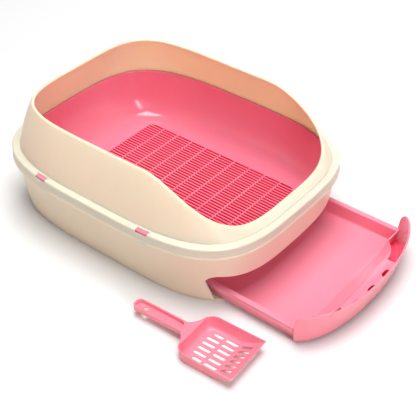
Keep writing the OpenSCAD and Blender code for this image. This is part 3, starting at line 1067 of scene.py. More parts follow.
@dataclass
class SievePan:
    """Inner bowl with its slotted floor."""

    ring: SplashRing
    flange_low: float = 113.8 * MM
    flange_depth: float = 3.0 * MM
    flange_chamfer: float = 0.4 * MM
    skirt_gap: float = 0.9 * MM
    wall: float = 2.5 * MM
    floor: float = 33.8 * MM
    floor_power: float = 7.0
    lip_inset: float = 4.7 * MM
    lip_outer: float = 3.7 * MM
    lip: float = 2.4 * MM
    lip_sunk: float = 1.8 * MM
    lip_rise: float = 4 * MM
    lip_run: float = 30 * MM
    lip_foot: Point = (0.8 * MM, 0.6 * MM)
    rows: int = 38
    columns: int = 10
    row_pitch: float = 6.6 * MM
    column_pitch: float = 33 * MM
    bar: float = 2.6 * MM
    rib: float = 3.0 * MM
    gap: float = 1.9 * MM
    corner: float = 12 * MM
    buried: float = 1.6 * MM
    crown: BarSection = BarSection(2.3 * MM, 1.0 * MM, 0.1 * MM)
    main_rib: BarSection = BarSection(2.4 * MM, 1.6 * MM, 0.05 * MM)
    low_rib: BarSection = BarSection(2.1 * MM, 1.2 * MM, 0.45 * MM)
    flank_short: float = 0.2 * MM
    flank_drop: float = 0.7 * MM
    bowl_power: float = 2.1
    flat_margin_x: float = 12.6 * MM
    flat_margin_y: float = 13 * MM
    lug_play: float = 0.3 * MM
    lug_lift: float = 0.2 * MM
    lug_drop: float = 1.3 * MM
    lug_round: float = 0.6 * MM
    # Both in mm: distance from the lip's face, and depth below its edge
    lip_profile: tuple[Point, ...] = ((0.0, 0.7), (0.25, 0.15), (0.8, 0.0))

    @property
    def sieve_x(self) -> float:
        """Half width of the sieve."""
        return self.rows * self.row_pitch / 2

    @property
    def sieve_y(self) -> float:
        """Half length of the sieve."""
        return self.columns * self.column_pitch / 2

    @property
    def flank(self) -> BarSection:
        """Section of the bars' flanks, which leave the gap between them."""
        return BarSection(self.row_pitch - self.gap, self.wall - self.flank_short, self.flank_drop)

    def bowl_loop(self, turn: float, depth: float) -> Loop:
        """A loop of the bowl's curved side.

        Args:
            turn: 0 at the floor to a quarter turn at the top.
            depth: 0 on the inner face, the wall's thickness on the outer one.

        Returns:
            The loop.
        """
        plan = self.ring.plan
        flat_x, flat_y = self.sieve_x + self.flat_margin_x, self.sieve_y + self.flat_margin_y
        top_x = plan.groove_x - self.lip_inset - self.lip
        top_y = plan.groove_y - self.lip_inset - self.lip
        out = math.sin(turn) ** (2 / self.bowl_power)
        up = 1 - max(math.cos(turn), 0.0) ** (2 / self.bowl_power)
        power = self.floor_power + (plan.power - self.floor_power) * out
        wider = depth * math.sin(turn)
        return level(flat_x + (top_x - flat_x) * out + wider, flat_y + (top_y - flat_y) * out + wider, power,
                     self.floor + (self.flange_low - self.floor) * up - depth * math.cos(turn))

    def lip_heights(self) -> np.ndarray:
        """Height of the pan's upstanding lip, low under the entry."""
        plan = self.ring.plan
        y = squircle(plan.groove_x, plan.groove_y, plan.power, full_turn())[:, 1]
        rise = np.clip((self.ring.rim_height(y) - self.ring.entry_height) / self.lip_run, 0, 1)
        return self.ring.flange_top - self.lip_sunk + self.lip_rise * rise

    def shell(self) -> bpy.types.Object:
        """Lofts the bowl, its lip and its flange."""
        plan = self.ring.plan
        half_x, half_y = self.sieve_x - self.bar / 2, self.sieve_y - self.rib / 2
        border = round_rectangle(half_x, half_y, self.corner, full_turn())

        def around(outset: float, height: np.ndarray | float) -> Loop:
            """A loop at a distance outside the groove line."""
            return level(plan.groove_x + outset, plan.groove_y + outset, plan.power, height)

        turns = [math.pi / 2 * k / 22 for k in range(23)]
        edge, chamfer = plan.flange - plan.skirt - self.skirt_gap, self.flange_chamfer
        outer, inner = -self.lip_outer, -self.lip_inset - self.lip
        top, lip, (foot_out, foot_up) = self.flange_low + self.flange_depth, self.lip_heights(), self.lip_foot
        loops = [lift(border, self.floor - self.wall)]
        loops += [self.bowl_loop(t, self.wall) for t in turns]
        loops += [around(edge, self.flange_low), around(edge, top - chamfer), around(edge - chamfer, top),
                  around(outer + foot_out, top), around(outer, top + foot_up)]
        loops += [around(outer - inset * MM, lip - down * MM) for inset, down in self.lip_profile]
        loops += [around(inner + inset * MM, lip - down * MM) for inset, down in reversed(self.lip_profile)]
        loops += [self.bowl_loop(t, 0) for t in reversed(turns)]
        loops.append(lift(border, self.floor))
        return new_piece("sieve_pan_shell", *skin(loops, closed=True))

    def bars(self, paint: Paintbox) -> tuple[list[bpy.types.Object], bpy.types.Object]:
        """Grows the long bars and the cross ribs of the sieve.

        Args:
            paint: Finishes.

        Returns:
            The crowns, main ribs and low ribs, and the bars' flanks, which wear a darker red copy of the
            pan's plastic as painted shade deep in the slots.
        """
        tree = bar_row_tree()
        along = {"Corner": self.corner, "Pitch": self.row_pitch,
                 "Half Length": self.sieve_y + self.buried, "Half Width": self.sieve_x}
        across = {"Corner": self.corner, "Pitch": 2 * self.column_pitch,
                  "Half Length": self.sieve_x + self.buried, "Half Width": self.sieve_y, "Turn": math.pi / 2}

        def row(name: str, layout: dict[str, float], count: int, section: BarSection,
                finish: Plastic) -> bpy.types.Object:
            """Grows one row of bars."""
            return grow(name, tree, layout | {
                "Count": count, "Width": section.width, "Depth": section.depth,
                "Top": self.floor - section.drop, "Material": paint.material(finish)})

        bars = [row("sieve_crowns", along, self.rows - 1, self.crown, DEEP_PINK),
                row("sieve_main_ribs", across, self.columns // 2 - 1, self.main_rib, DEEP_PINK),
                row("sieve_low_ribs", across, self.columns // 2, self.low_rib, DEEP_PINK)]
        # The flanks, in painted slot shade, run one row past the bars on each side, so the painted shade also
        # covers the dark edge of the sieve.
        return bars, row("sieve_flanks", along, self.rows + 1, self.flank, SLOT_SHADE_PINK)

    def lugs(self) -> list[bpy.types.Object]:
        """The four clip lugs that show in the ring's windows."""
        ring, skirt, made = self.ring, self.ring.plan.skirt, []
        for side, end in CLIPS:
            lug = ring.clip_block("lug", side, end, -skirt - self.lug_play, skirt + ring.clip_depth,
                                  ring.clip_half, self.flange_low + self.lug_lift,
                                  ring.flange_top - self.lug_drop)
            soften(lug, self.lug_round, 3)
            made.append(lug)
        return made

    def build(self, paint: Paintbox) -> None:
        """Makes and dresses the pan."""
        bars, flanks = self.bars(paint)
        pan = join("sieve_pan_moulding", [self.shell(), *self.lugs(), *bars])
        shade(pan)
        shade(flanks)
        # The flanks wear painted slot shade, a darker red copy of the pan's plastic.
        paint.dress(flanks, SLOT_SHADE_PINK, Body.PAN)
        paint.dress(pan, DEEP_PINK, Body.PAN, "sieve_pan")


# ---------------------------------------------------------------- drawer


@dataclass
class Drawer:
    """Slide-out tray, its platform and its curved front."""

    lip: float = 7 * MM
    lip_turn: float = 10 * MM
    lip_depth: float = 2.0 * MM
    lip_radius: float = 8 * MM
    lip_round: float = 0.6 * MM
    lip_overlap: float = 1 * MM
    lip_end: float = 13.5 * MM
    lip_edge: float = 2 * MM
    lip_edge_start: float = 6 * MM
    lip_edge_drop: float = 0.9 * MM
    lip_edge_round: float = 0.3 * MM
    wall: float = 2.5 * MM
    wall_draft: float = 0.3 * MM
    floor: float = 2.2 * MM
    floor_radius: float = 3.2 * MM
    floor_lean: float = 0.14
    back_corner: float = 13 * MM
    side_start: float = 20 * MM
    corner_y: float = -353 * MM
    front_y: float = -374.3 * MM
    floor_front: float = -347.5 * MM
    platform_x: float = 69 * MM
    platform_gap: float = 1.2 * MM
    platform_overlap: float = 1.0 * MM
    platform_depth: float = 2.5 * MM
    sweep_x: float = 109 * MM
    sweep_power: float = 2.2
    front_depth: float = 3.0 * MM
    front_low: float = 4.5 * MM
    front_power: float = 2.2
    front_turn: float = 74.5
    front_bow: float = 63.5 * MM
    front_margin: float = 4.7 * MM
    ends_back: float = 42.8 * MM
    flare: float = 5.5 * MM
    forward_lean: float = 11.4 * MM
    lean_height: float = 45.5 * MM
    front_mid: float = 54 * MM
    front_rise: float = 11 * MM
    end_rise: float = 4 * MM
    end_point: float = 0.05 * MM
    ear_share: float = 0.72
    ear_power: float = 2.5
    foot_share: float = 0.94
    foot_round: float = 8 * MM
    pocket_thick: float = 2.2 * MM
    pocket_past: float = 4 * MM
    pocket_dip: float = 5.2 * MM
    pocket_slant: float = 8 * MM
    pocket_inset: float = 4 * MM
    edge: float = 1.1 * MM
    edge_start: float = 0.3
    play: float = 0.3 * MM
    notches: tuple[float, ...] = (-45 * MM, -4 * MM, 40 * MM)
    notch_half: float = 10 * MM
    notch_radius: float = 6 * MM
    notch_depth: float = 9 * MM
    cut_below: float = 10 * MM
    cut_above: float = 5 * MM
    ledge_spans: tuple[Point, ...] = ((-33 * MM, -16 * MM), (8 * MM, 28 * MM), (52 * MM, 62 * MM))
    ledge_deep: float = 7 * MM
    ledge_thick: float = 2.2 * MM
    # Distance inside the wall in mm, lean of the front wall, and height in mm above the underside
    under_profile: tuple[tuple[float, float, float], ...] = (
        (1.0, 0.0, 0.0), (0.3, 0.01, 0.3), (0.0, 0.04, 1.0))
    # Both in mm: distance from the wall's face, and depth below its upper edge
    edge_profile: tuple[Point, ...] = ((0.0, 0.7), (0.2, 0.2), (0.7, 0.0))
    half_x: float = field(init=False)
    back: float = field(init=False)
    low: float = field(init=False)
    top: float = field(init=False)

    def __post_init__(self) -> None:
        """Reads the tray's box."""
        low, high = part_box("drawer_tray")
        self.half_x, self.back = high.x, high.y
        self.low, self.top = low.z, high.z

    def front_edge(self, x: float) -> float:
        """Y of the tray's upper front edge, bowed forward to the platform."""
        share = min(1.0, max(0.0, (self.sweep_x - abs(x)) / (self.sweep_x - self.platform_x)))
        return self.corner_y + (self.front_y - self.corner_y) * (1 - (1 - share) ** self.sweep_power)

    def outline(self, inset: float, lean: float, height: float) -> Loop:
        """One level of the tray's wall.

        Args:
            inset: Distance inside the body's outer face.
            lean: 0 where the front wall meets the floor, 1 at its upper edge.
            height: Height of the loop.

        Returns:
            The loop, anticlockwise from the front left corner.
        """
        x = self.half_x - self.lip - inset
        back, corner, start = self.back - inset, self.back_corner - inset, self.floor_front + self.side_start
        points = []
        for share in np.linspace(-1, 1, 181):
            edge = self.front_edge(share * x)
            y = self.floor_front + (edge - self.floor_front) * lean + (inset - self.wall)
            points.append((share * x, y))
        points += [(x, y) for y in np.linspace(start, back - corner, 14)[:-1]]
        points += arc((x - corner, back - corner), corner, 0, 90, 8)
        points += [(u, back) for u in np.linspace(x - corner, corner - x, 14)[1:-1]]
        points += arc((corner - x, back - corner), corner, 90, 180, 8)
        points += [(-x, y) for y in np.linspace(back - corner, start, 14)[1:]]
        return lift(np.array(points), height)

    def tray_shell(self) -> bpy.types.Object:
        """Lofts the tray's walls and floor."""
        rise, inner_floor = self.top - self.low, self.low + self.floor
        span, foot, draft = self.top - inner_floor, self.floor_radius, self.wall_draft

        loops = [self.outline(inset * MM, lean, self.low + up * MM) for inset, lean, up in self.under_profile]
        loops += [self.outline(0, s, self.low + rise * s) for s in (0.15, 0.3, 0.45, 0.6, 0.75, 0.88)]
        loops += [self.outline(inset * MM, 1, self.top - down * MM) for inset, down in self.edge_profile]
        loops += [self.outline(self.wall - inset * MM, 1, self.top - down * MM)
                  for inset, down in reversed(self.edge_profile)]
        loops += [self.outline(self.wall + draft * (1 - s), s, inner_floor + span * s)
                  for s in (0.88, 0.75, 0.6, 0.45, 0.3, 0.2)]
        loops += [self.outline(self.wall + draft + foot * (1 - math.cos(t)),
                               self.floor_lean * (1 - math.sin(t)), inner_floor + foot * (1 - math.sin(t)))
                  for t in np.linspace(0, math.pi / 2, 6)]
        return new_piece("tray_shell", *skin(loops, closed=False))

    def side_lips(self) -> list[bpy.types.Object]:
        """The turned down lips along the tray's sides."""
        outer, radius, end = self.half_x, self.lip_radius, self.back - self.lip_end
        inner, turned = outer - self.lip - self.lip_overlap, outer - self.lip_edge
        start, edge_start = self.corner_y - self.wall, self.corner_y + self.lip_edge_start
        flat = [(inner, end), (inner, start), *arc((outer - radius, start + radius), radius, -75, 0, 8),
                (outer, end)]
        upright = [(turned, edge_start), (outer, edge_start), (outer, end), (turned, end)]
        made = []
        for side in SIDES:
            plate = prism("lip", mirrored(flat, side), self.top - self.lip_depth, self.top)
            soften(plate, self.lip_round, 3)
            edge = prism("lip_edge", mirrored(upright, side), self.top - self.lip_turn,
                         self.top - self.lip_edge_drop)
            soften(edge, self.lip_edge_round)
            made += [plate, edge]
        return made

    def front_sizes(self, height: float, depth: float) -> tuple[float, float]:
        """Half width and bow of the front's plan curve.

        Args:
            height: Height of the level.
            depth: Distance behind the outer face.

        Returns:
            Half width and bow, in metres.
        """
        share = (height - self.front_low) / self.lean_height
        half = self.half_x + self.front_margin + self.flare * share - depth
        return half, self.front_bow + self.forward_lean * share - depth

    def front_point(self, turn: float, height: float, depth: float) -> Place:
        """A point of the front.

        Args:
            turn: Plan parameter in radians, 0 in the middle.
            height: Height of the point.
            depth: Distance behind the outer face.

        Returns:
            The point.
        """
        half, bow = self.front_sizes(height, depth)
        y, x = squircle(bow, half, self.front_power, np.array([turn]))[0]
        return x, self.front_y + self.ends_back - y, height

    def front_face(self, x: float, height: float, depth: float) -> float:
        """Y of the front at a place across it."""
        half, bow = self.front_sizes(height, depth)
        return self.front_y + self.ends_back - side_reach(bow, half, self.front_power, x)

    def front_rim(self, share: float) -> float:
        """Height of the front's rim, which rises from the middle and rounds over at both ends.

        Args:
            share: Place across the front, from -1 at one end to 1 at the other.

        Returns:
            The height.
        """
        over = max(0.0, (abs(share) - self.ear_share) / (1 - self.ear_share))
        end = self.top + self.end_rise
        rise = self.front_mid + self.front_rise * share * share - end
        return end + rise * (1 - min(over, 1.0) ** self.ear_power) ** (1 / self.ear_power)

    def front_foot(self, share: float) -> float:
        """Height of the front's lower edge, rounded up at both ends."""
        over = min(1.0, max(0.0, (abs(share) - self.foot_share) / (1 - self.foot_share)))
        return self.front_low + self.foot_round * (1 - math.sqrt(1 - over * over))

    def platform(self) -> bpy.types.Object:
        """The flat platform behind the drawer front, notched along its edge."""
        low, half, radius = self.top - self.platform_depth, self.notch_half, self.notch_radius
        start = self.front_y + self.platform_overlap
        outline = [(-self.platform_x, start)]
        outline += [(x, self.front_face(x, low, self.front_depth + self.platform_gap))
                    for x in np.linspace(-self.platform_x, self.platform_x, 61)]
        outline.append((self.platform_x, start))
        plate = prism("platform", outline, low, self.top)
        for x in self.notches:
            edge = self.front_face(x, low, self.front_depth)
            deep = edge + self.notch_depth - radius
            notch = [(x - half, edge - half), (x + half, edge - half)]
            notch += arc((x + half - radius, deep), radius, 0, 90, 8)
            notch += arc((x - half + radius, deep), radius, 90, 180, 8)
            cutter = prism("notch", notch, self.top - self.cut_below, self.top + self.cut_above)
            combine(plate, cutter, Cut.REMOVE)
        soften(plate, SOFT_EDGE)
        return plate

    def front_column(self, share: float, left: float) -> list[Point]:
        """Upright section of the front with rounded edges.

        Args:
            share: Place across the front, from -1 at one end to 1 at the other.
            left: How far the place is inside the rounding of the front's end, 0 where it is outside it.

        Returns:
            Points of the section as (depth behind the outer face, height).
        """
        round_end = self.front_depth / 2
        thin = round_end - math.sqrt(max(round_end ** 2 - left ** 2, 0.0)) - (self.end_point if left else 0.0)
        front, back = max(thin, 0.0), self.front_depth - max(thin, 0.0)
        edge = min(self.edge, (back - front) / 2)
        top, low = self.front_rim(share), self.front_foot(share)
        turns = np.linspace(self.edge_start, math.pi / 2, 5)
        column = [(front, z) for z in np.linspace(low + edge, top - edge, 13)]
        column += [(front + edge * (1 - math.cos(t)), top - edge * (1 - math.sin(t))) for t in turns]
        column += [(back - edge * (1 - math.cos(t)), top - edge * (1 - math.sin(t))) for t in turns[::-1]]
        column += [(back, z) for z in np.linspace(top - edge, low + edge, 13)]
        return [*column, (back - edge / 2, low), (front + edge / 2, low)]

    def front_panel(self) -> bpy.types.Object:
        """Lofts the drawer front as columns from one curled end to the other."""
        half_turn, crowding = math.radians(self.front_turn), 2.2
        shares = [math.copysign(1 - (1 - abs(s)) ** crowding, s) for s in np.linspace(-1, 1, 241)]
        spots = np.array([self.front_point(s * half_turn, self.top, 0)[:2] for s in shares])
        run = np.concatenate([[0.0], np.cumsum(np.linalg.norm(np.diff(spots, axis=0), axis=1))])
        loops = []
        for share, along in zip(shares, run):
            left = max(self.front_depth / 2 - min(along, run[-1] - along), 0.0)
            column = self.front_column(share, left)
            loops.append(np.array([self.front_point(share * half_turn, z, depth) for depth, z in column]))
        return new_piece("front_panel", *skin(loops, closed=False))

    def ledges(self) -> list[bpy.types.Object]:
        """The ledges on the back of the front that the platform rests on."""
        top = self.top - self.platform_depth - self.play
        low = top - self.ledge_thick
        made = []
        for start, end in self.ledge_spans:
            xs = np.linspace(start, end, 12)
            outline = [(x, self.front_face(x, low, self.front_depth / 2)) for x in xs]
            outline += [(x, self.front_face(x, low, self.front_depth + self.ledge_deep)) for x in xs[::-1]]
            made.append(prism("ledge", outline, low, top))
        return made

    def pocket_plate(self) -> bpy.types.Object:
        """The foot plate that closes the pocket between the tray and the front."""
        low, limit = self.front_low, self.corner_y + self.pocket_past
        half, bow = self.front_sizes(low, self.front_depth / 2)
        reach = side_reach(half, bow, self.front_power, self.front_y + self.ends_back - limit)
        outline = [(x, self.front_face(x, low, self.front_depth / 2)) for x in np.linspace(-reach, reach, 81)]
        bend = self.sweep_x - self.pocket_inset
        back = [(bend + self.pocket_slant, limit), (bend, limit - self.pocket_dip)]
        return prism("pocket_plate", outline + back + mirrored(back[::-1], -1), low, low + self.pocket_thick)

    def build(self, paint: Paintbox) -> None:
        """Makes and dresses the tray and the front."""
        tray = join("drawer_tray_moulding", [self.tray_shell(), *self.side_lips(), self.platform()])
        shade(tray)
        paint.dress(tray, PINK, Body.DRAWER, "drawer_tray")
        front = join("drawer_front_moulding", [self.front_panel(), *self.ledges()])
        shade(front, 40)
        paint.dress(front, PINK, Body.DRAWER, "drawer_front")
        pocket = self.pocket_plate()
        shade(pocket, 40)
        # The pocket floor is dressed in a deeper pink as painted shade.
        paint.dress(pocket, POCKET_SHADE_PINK, Body.DRAWER)


# ---------------------------------------------------------------- scoop


@dataclass(frozen=True)
class SlotRank:
    """One rank of slots across the scoop's blade; spread counts the pitches from each slot to the next."""

    y: float
    length: float
    count: int
    spread: int = 1


@dataclass
class Scoop:
    """Loose slotted scoop, drawn along Y with its handle toward +Y and then turned in place."""

    width: float = 92 * MM
    back: float = 13 * MM
    tip: float = -89 * MM
    height: float = 20 * MM
    wall: float = 1.8 * MM
    corner: float = 21 * MM
    lip_run: float = 31 * MM
    lip_flat: float = 10 * MM
    lip_power: float = 1.45
    edge_round: float = 0.45 * MM
    overrun: float = 4 * MM
    clip_half: float = 80 * MM
    handle_half: float = 10.5 * MM
    handle_end: float = 117 * MM
    handle_depth: float = 8 * MM
    handle_radius: float = 8.5 * MM
    handle_sunk: float = 1.5 * MM
    groove_wall: float = 2.4 * MM
    groove_floor: float = 2.2 * MM
    groove_start: float = 12 * MM
    neck_depth: float = 2.6 * MM
    neck_sunk: float = 4.2 * MM
    neck_length: float = 22 * MM
    neck_flare: float = 26 * MM
    neck_power: float = 2.2
    neck_inset: float = 0.5 * MM
    hole: float = 9 * MM
    hole_from_end: float = 19 * MM
    hole_facets: int = 32
    cut_above: float = 5 * MM
    slot: float = 6 * MM
    slot_corner: float = 2.6 * MM
    slot_margin: float = 36.5 * MM
    slots_across: int = 6
    ranks: tuple[SlotRank, ...] = (
        SlotRank(-15.25 * MM, 22.5 * MM, 4), SlotRank(-18.25 * MM, 16.5 * MM, 2, spread=5),
        SlotRank(-42.25 * MM, 22.5 * MM, 6), SlotRank(-69.5 * MM, 19.0 * MM, 6))
    # Both in mm: distance inside the blade's rim, and height
    outer_levels: tuple[Point, ...] = (
        (3.4, 0.0), (2.6, 0.5), (2.2, 1.6), (1.2, 10.0), (0.15, 19.3), (0.35, 19.8), (0.7, 20.0))
    inner_levels: tuple[Point, ...] = (
        (14.0, 1.8), (11.4, 2.0), (9.2, 2.7), (7.6, 4.0), (6.4, 6.2), (5.2, 10.0), (2.1, 19.5), (1.9, 20.6))
    place: Point = (-235 * MM, -240 * MM)
    turn: float = 2.9

    @property
    def slot_pitch(self) -> float:
        """Spacing of the slots across the blade."""
        return (self.width - self.slot_margin) / (self.slots_across - 1)

    def blade_loop(self, inset: float, height: float) -> Loop:
        """Plan loop of the blade at a height.

        Args:
            inset: Distance inside the blade's rim on the sides and back.
            height: Height of the loop.

        Returns:
            The loop.
        """
        half, back, radius = self.width / 2 - inset, self.back - inset, self.corner - inset
        points = [(-half, self.tip - self.overrun), (half, self.tip - self.overrun)]
        points += arc((half - radius, back - radius), radius, 0, 90, 14)
        points += arc((radius - half, back - radius), radius, 90, 180, 14)
        return lift(np.array(points), height)

    def blade_form(self, name: str, levels: Sequence[Point], section: Sequence[Point]) -> bpy.types.Object:
        """A form lofted from the blade's levels and clipped by a side profile.

        Args:
            name: Object name.
            levels: Distance inside the rim and height of each level, in mm.
            section: The side profile that is kept, as (y, z).

        Returns:
            The form.
        """
        loops = [self.blade_loop(inset * MM, z * MM) for inset, z in levels]
        form = new_piece(name, *skin(loops, closed=False))
        clip = prism("side profile", section, -self.clip_half, self.clip_half, lambda u, v, w: (w, u, v))
        return combine(form, clip, Cut.KEEP)

    def lip_curve(self, thickness: float) -> list[Point]:
        """Side profile of the blade's floor turning up into its lip.

        Args:
            thickness: Height of the surface above the blade's underside.

        Returns:
            Points from the flat floor to the tip.
        """
        start = self.tip + self.lip_run + self.lip_flat
        rise = self.height - self.wall
        return [(start + (self.tip - start) * share, thickness + rise * share ** self.lip_power)
                for share in np.linspace(0, 1, 12)]

    def bowl(self) -> bpy.types.Object:
        """The blade: an outer form less an inner one, each clipped by its side profile."""
        top, past, back = self.height, self.tip - self.overrun - 2 * MM, self.back + MM
        under = [(back + 2 * MM, -MM), (back + 2 * MM, top + MM), (self.tip, top + MM),
                 *self.lip_curve(0.0)[::-1], (self.tip + self.lip_run + self.lip_flat + MM, -MM)]
        over = [(back, self.wall), (back, top + 2 * MM), (past, top + 2 * MM), (past, top),
                *self.lip_curve(self.wall)[::-1]]
        outer = self.blade_form("blade", self.outer_levels, under)
        return combine(outer, self.blade_form("hollow", self.inner_levels, over), Cut.REMOVE)

    def neck(self) -> bpy.types.Object:
        """Flat web that flares from the handle into the back of the blade."""
        start, half = self.back - self.neck_sunk, self.handle_half - self.neck_inset
        right = [(half + self.neck_flare * (1 - s) ** self.neck_power, start + self.neck_length * s)
                 for s in np.linspace(0, 1, 15)]
        return prism("neck", right + mirrored(right[::-1], -1), self.height - self.neck_depth, self.height)

    def handle_outline(self) -> list[Point]:
        """Plan of the handle, from inside the blade's back to its rounded end."""
        half, radius, root = self.handle_half, self.handle_radius, self.back - self.handle_sunk
        end = self.handle_end - radius
        points = [(-half, root), (half, root), *arc((half - radius, end), radius, 0, 90, 10)]
        return points + arc((radius - half, end), radius, 90, 180, 10)

    def groove_outline(self) -> list[Point]:
        """Plan of the channel in the handle, round at both ends."""
        half = self.handle_half - self.groove_wall
        start = self.back + self.groove_start + self.handle_half
        end = self.handle_end - self.groove_wall - half
        return arc((0.0, start), half, 180, 360, 16) + arc((0.0, end), half, 0, 180, 16)

    def slots(self, paint: Paintbox) -> list[bpy.types.Object]:
        """Cutters for the ranks of slots.

        Args:
            paint: Finishes.

        Returns:
            One cutter mesh for each rank.
        """
        tree = slot_row_tree()
        made = []
        for rank in self.ranks:
            cutter = grow("slot_rank", tree, {
                "Count": rank.count, "Pitch": self.slot_pitch * rank.spread, "Slot Width": self.slot,
                "Slot Length": rank.length, "Height": self.height * 2, "Corner": self.slot_corner,
                "Material": paint.material(SCOOP_PINK)})
            cutter.data.transform(Matrix.Translation((0.0, rank.y, -0.5 * self.height)))
            turn_outward(cutter)
            made.append(cutter)
        return made

    def build(self, paint: Paintbox) -> None:
        """Makes and dresses the scoop."""
        scoop = self.bowl()
        low, over = self.height - self.handle_depth, self.height + self.cut_above
        hole_at, last = (0.0, self.handle_end - self.hole_from_end), self.hole_facets - 1
        hole = arc(hole_at, self.hole / 2, 0, 360 * last / self.hole_facets, last)
        combine(scoop, self.neck(), Cut.ADD)
        combine(scoop, prism("handle", self.handle_outline(), low, self.height), Cut.ADD)
        combine(scoop, prism("channel", self.groove_outline(), low + self.groove_floor, over), Cut.REMOVE)
        combine(scoop, prism("hole", hole, -MM, over), Cut.REMOVE)
        for cutter in self.slots(paint):
            combine(scoop, cutter, Cut.REMOVE)
        soften(scoop, self.edge_round, angle=40)
        turned = Matrix.Rotation(math.radians(self.turn), 4, "Z")
        scoop.data.transform(Matrix.Translation((*self.place, 0.0)) @ turned)
        scoop.name = "scoop_moulding"
        shade(scoop, 38)
        paint.dress(scoop, SCOOP_PINK, Body.SCOOP, "scoop")


# ---------------------------------------------------------------- studio


@dataclass(frozen=True)
class SoftBox:
    """A rectangular lamp that hangs round the object and points at its middle."""

    name: str
    azimuth: float
    elevation: float
    size: Point
    watts: float
    colour: Colour = WHITE


@dataclass(frozen=True)
class CeilingSpot:
    """A small lamp high above the object."""

    name: str
    at: Place
    size: Point = (0.05, 0.04)
    watts: float = 1.2


SOFT_BOXES = (
    SoftBox("overhead", 0, 89, (1.8, 1.8), 80),
    SoftBox("front", -38, 24, (2.4, 1.7), 11.5),
    SoftBox("front strip", -22, 24, (0.4, 2.2), 18),
    SoftBox("right back", 112, 14, (3.4, 1.6), 34),
    SoftBox("left back", -120, 8, (1.8, 1.8), 8, (1.0, 0.95, 0.9)),
    SoftBox("right", 60, 62, (1.8, 1.8), 3),
)
CEILING_SPOTS = (CeilingSpot("spot one", (0.08, -0.2, 2.5)), CeilingSpot("spot two", (-0.58, 0.39, 2.4)))


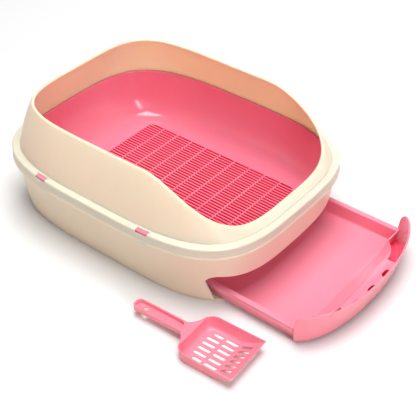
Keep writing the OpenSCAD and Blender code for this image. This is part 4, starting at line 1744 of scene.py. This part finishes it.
@dataclass
class Studio:
    """Camera, lamps, floor and sky."""

    camera_at: Place = (-1.0049, -0.8740, 1.0492)
    azimuth: float = -51.37
    elevation: float = 38.56
    lens: float = 84.37
    sensor: float = 36.0
    floor_size: float = 30.0
    floor_seen: Colour = (0.8, 0.8, 0.8)
    floor_bounce: Colour = (0.82, 0.76, 0.69)
    floor_glow: float = 0.04
    floor_fade: Point = (1.0, 2.6)
    sky_light: float = 0.03
    middle: Place = (0.0, -0.05, 0.08)
    lamp_distance: float = 2.6

    def camera(self) -> None:
        """Sets the camera at the viewing angle."""
        lens = bpy.data.cameras.new("camera")
        lens.lens = self.lens
        lens.sensor_width = self.sensor
        lens.clip_start, lens.clip_end = 0.01, 100
        eye = add_object("camera", lens)
        a, e = math.radians(self.azimuth), math.radians(self.elevation)
        back = Vector((math.sin(a) * math.cos(e), -math.cos(a) * math.cos(e), math.sin(e)))
        eye.location = self.camera_at
        eye.rotation_mode = "QUATERNION"
        eye.rotation_quaternion = (-back).to_track_quat("-Z", "Y")
        bpy.context.scene.camera = eye

    def lamp(self, name: str, at: Place, size: Point, watts: float, colour: Colour = WHITE) -> None:
        """One area lamp aimed at the object's middle.

        Args:
            name: Lamp name.
            at: Where it hangs.
            size: Its width and height.
            watts: Its power.
            colour: Its colour.
        """
        light = bpy.data.lights.new(name, "AREA")
        light.color = colour
        light.shape = "RECTANGLE"
        light.size, light.size_y = size
        light.energy = watts
        lamp = add_object(name, light)
        lamp.location = at
        lamp.rotation_mode = "QUATERNION"
        lamp.rotation_quaternion = (Vector(self.middle) - Vector(at)).to_track_quat("-Z", "Y")

    def around(self, azimuth: float, elevation: float) -> Place:
        """A place for a lamp round the object.

        Args:
            azimuth: Degrees from -Y toward +X.
            elevation: Degrees above the floor.

        Returns:
            The place.
        """
        turn, rise = math.radians(azimuth), math.radians(elevation)
        flat = self.lamp_distance * math.cos(rise)
        x, y, z = self.middle
        return x + flat * math.sin(turn), y - flat * math.cos(turn), z + self.lamp_distance * math.sin(rise)

    def lamps(self) -> None:
        """Hangs the soft boxes and the ceiling spots."""
        for box in SOFT_BOXES:
            self.lamp(box.name, self.around(box.azimuth, box.elevation), box.size, box.watts, box.colour)
        for spot in CEILING_SPOTS:
            self.lamp(spot.name, spot.at, spot.size, spot.watts)

    def floor_material(self) -> bpy.types.Material:
        """A matt finish that takes shadows, bounces a warm light and fades to white far from the object.

        Returns:
            The Blender material.
        """
        material = bpy.data.materials.new("Studio floor")
        material.use_nodes = True
        material.node_tree.nodes.clear()
        maker = NodeMaker(material.node_tree)
        path = maker.node("ShaderNodeLightPath").outputs
        tint = maker.node("ShaderNodeMix", {
            "Factor": path["Is Camera Ray"], "A": (*self.floor_bounce, 1), "B": (*self.floor_seen, 1)},
            data_type="RGBA")
        matt = maker.node("ShaderNodeBsdfDiffuse", {"Color": tint.outputs["Result"]})
        place = maker.node("ShaderNodeNewGeometry").outputs["Position"]
        reach = maker.node("ShaderNodeVectorMath", {0: place}, operation="LENGTH").outputs["Value"]
        near, far = self.floor_fade
        fade = maker.node("ShaderNodeMapRange", {
            "Value": reach, "From Min": near, "From Max": far, "To Min": self.floor_glow, "To Max": 1.0},
            interpolation_type="SMOOTHSTEP")
        seen = maker.math("MAXIMUM", path["Is Camera Ray"], path["Is Glossy Ray"])
        glow = maker.node("ShaderNodeEmission", {
            "Color": (*WHITE, 1), "Strength": maker.math("MULTIPLY", seen, fade.outputs["Result"])})
        both = maker.node("ShaderNodeAddShader", {0: matt.outputs[0], 1: glow.outputs[0]})
        maker.node("ShaderNodeOutputMaterial", {"Surface": both.outputs[0]})
        return material

    def floor(self) -> None:
        """A wide floor under the object."""
        half = self.floor_size / 2
        plane = bpy.data.meshes.new("floor")
        plane.from_pydata([(-half, -half, 0), (half, -half, 0), (half, half, 0), (-half, half, 0)], [],
                          [(0, 1, 2, 3)])
        floor = add_object("floor", plane)
        floor.data.materials.append(self.floor_material())

    def sky(self) -> None:
        """White where it is seen, also through clear pieces, and faint as a light."""
        world = bpy.data.worlds.new("sky")
        bpy.context.scene.world = world
        world.use_nodes = True
        maker = NodeMaker(world.node_tree)
        path = maker.node("ShaderNodeLightPath").outputs
        seen = maker.math("MAXIMUM", path["Is Camera Ray"], path["Is Transmission Ray"])
        strength = maker.node("ShaderNodeMapRange", {"Value": seen, "To Min": self.sky_light, "To Max": 1.0})
        maker.feed(world.node_tree.nodes["Background"], {
            "Color": (*WHITE, 1), "Strength": strength.outputs["Result"]})

    def build(self) -> None:
        """Sets up everything that isn't part of the object."""
        self.camera()
        self.lamps()
        self.floor()
        self.sky()
        bpy.context.scene.view_settings.view_transform = "Standard"


def main() -> None:
    """Loads the frame and builds every sub-assembly round it."""
    logging.basicConfig(level=logging.INFO, format="%(name)s: %(message)s")
    for item in list(bpy.data.objects):
        bpy.data.objects.remove(item, do_unlink=True)
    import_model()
    Studio().build()
    paint = Paintbox()
    plan = Outline()
    ring = SplashRing(plan)
    ring.build(paint)
    BaseTub(plan).build(paint)
    SievePan(ring).build(paint)
    Drawer().build(paint)
    Scoop().build(paint)


if __name__ == "__main__":
    main()
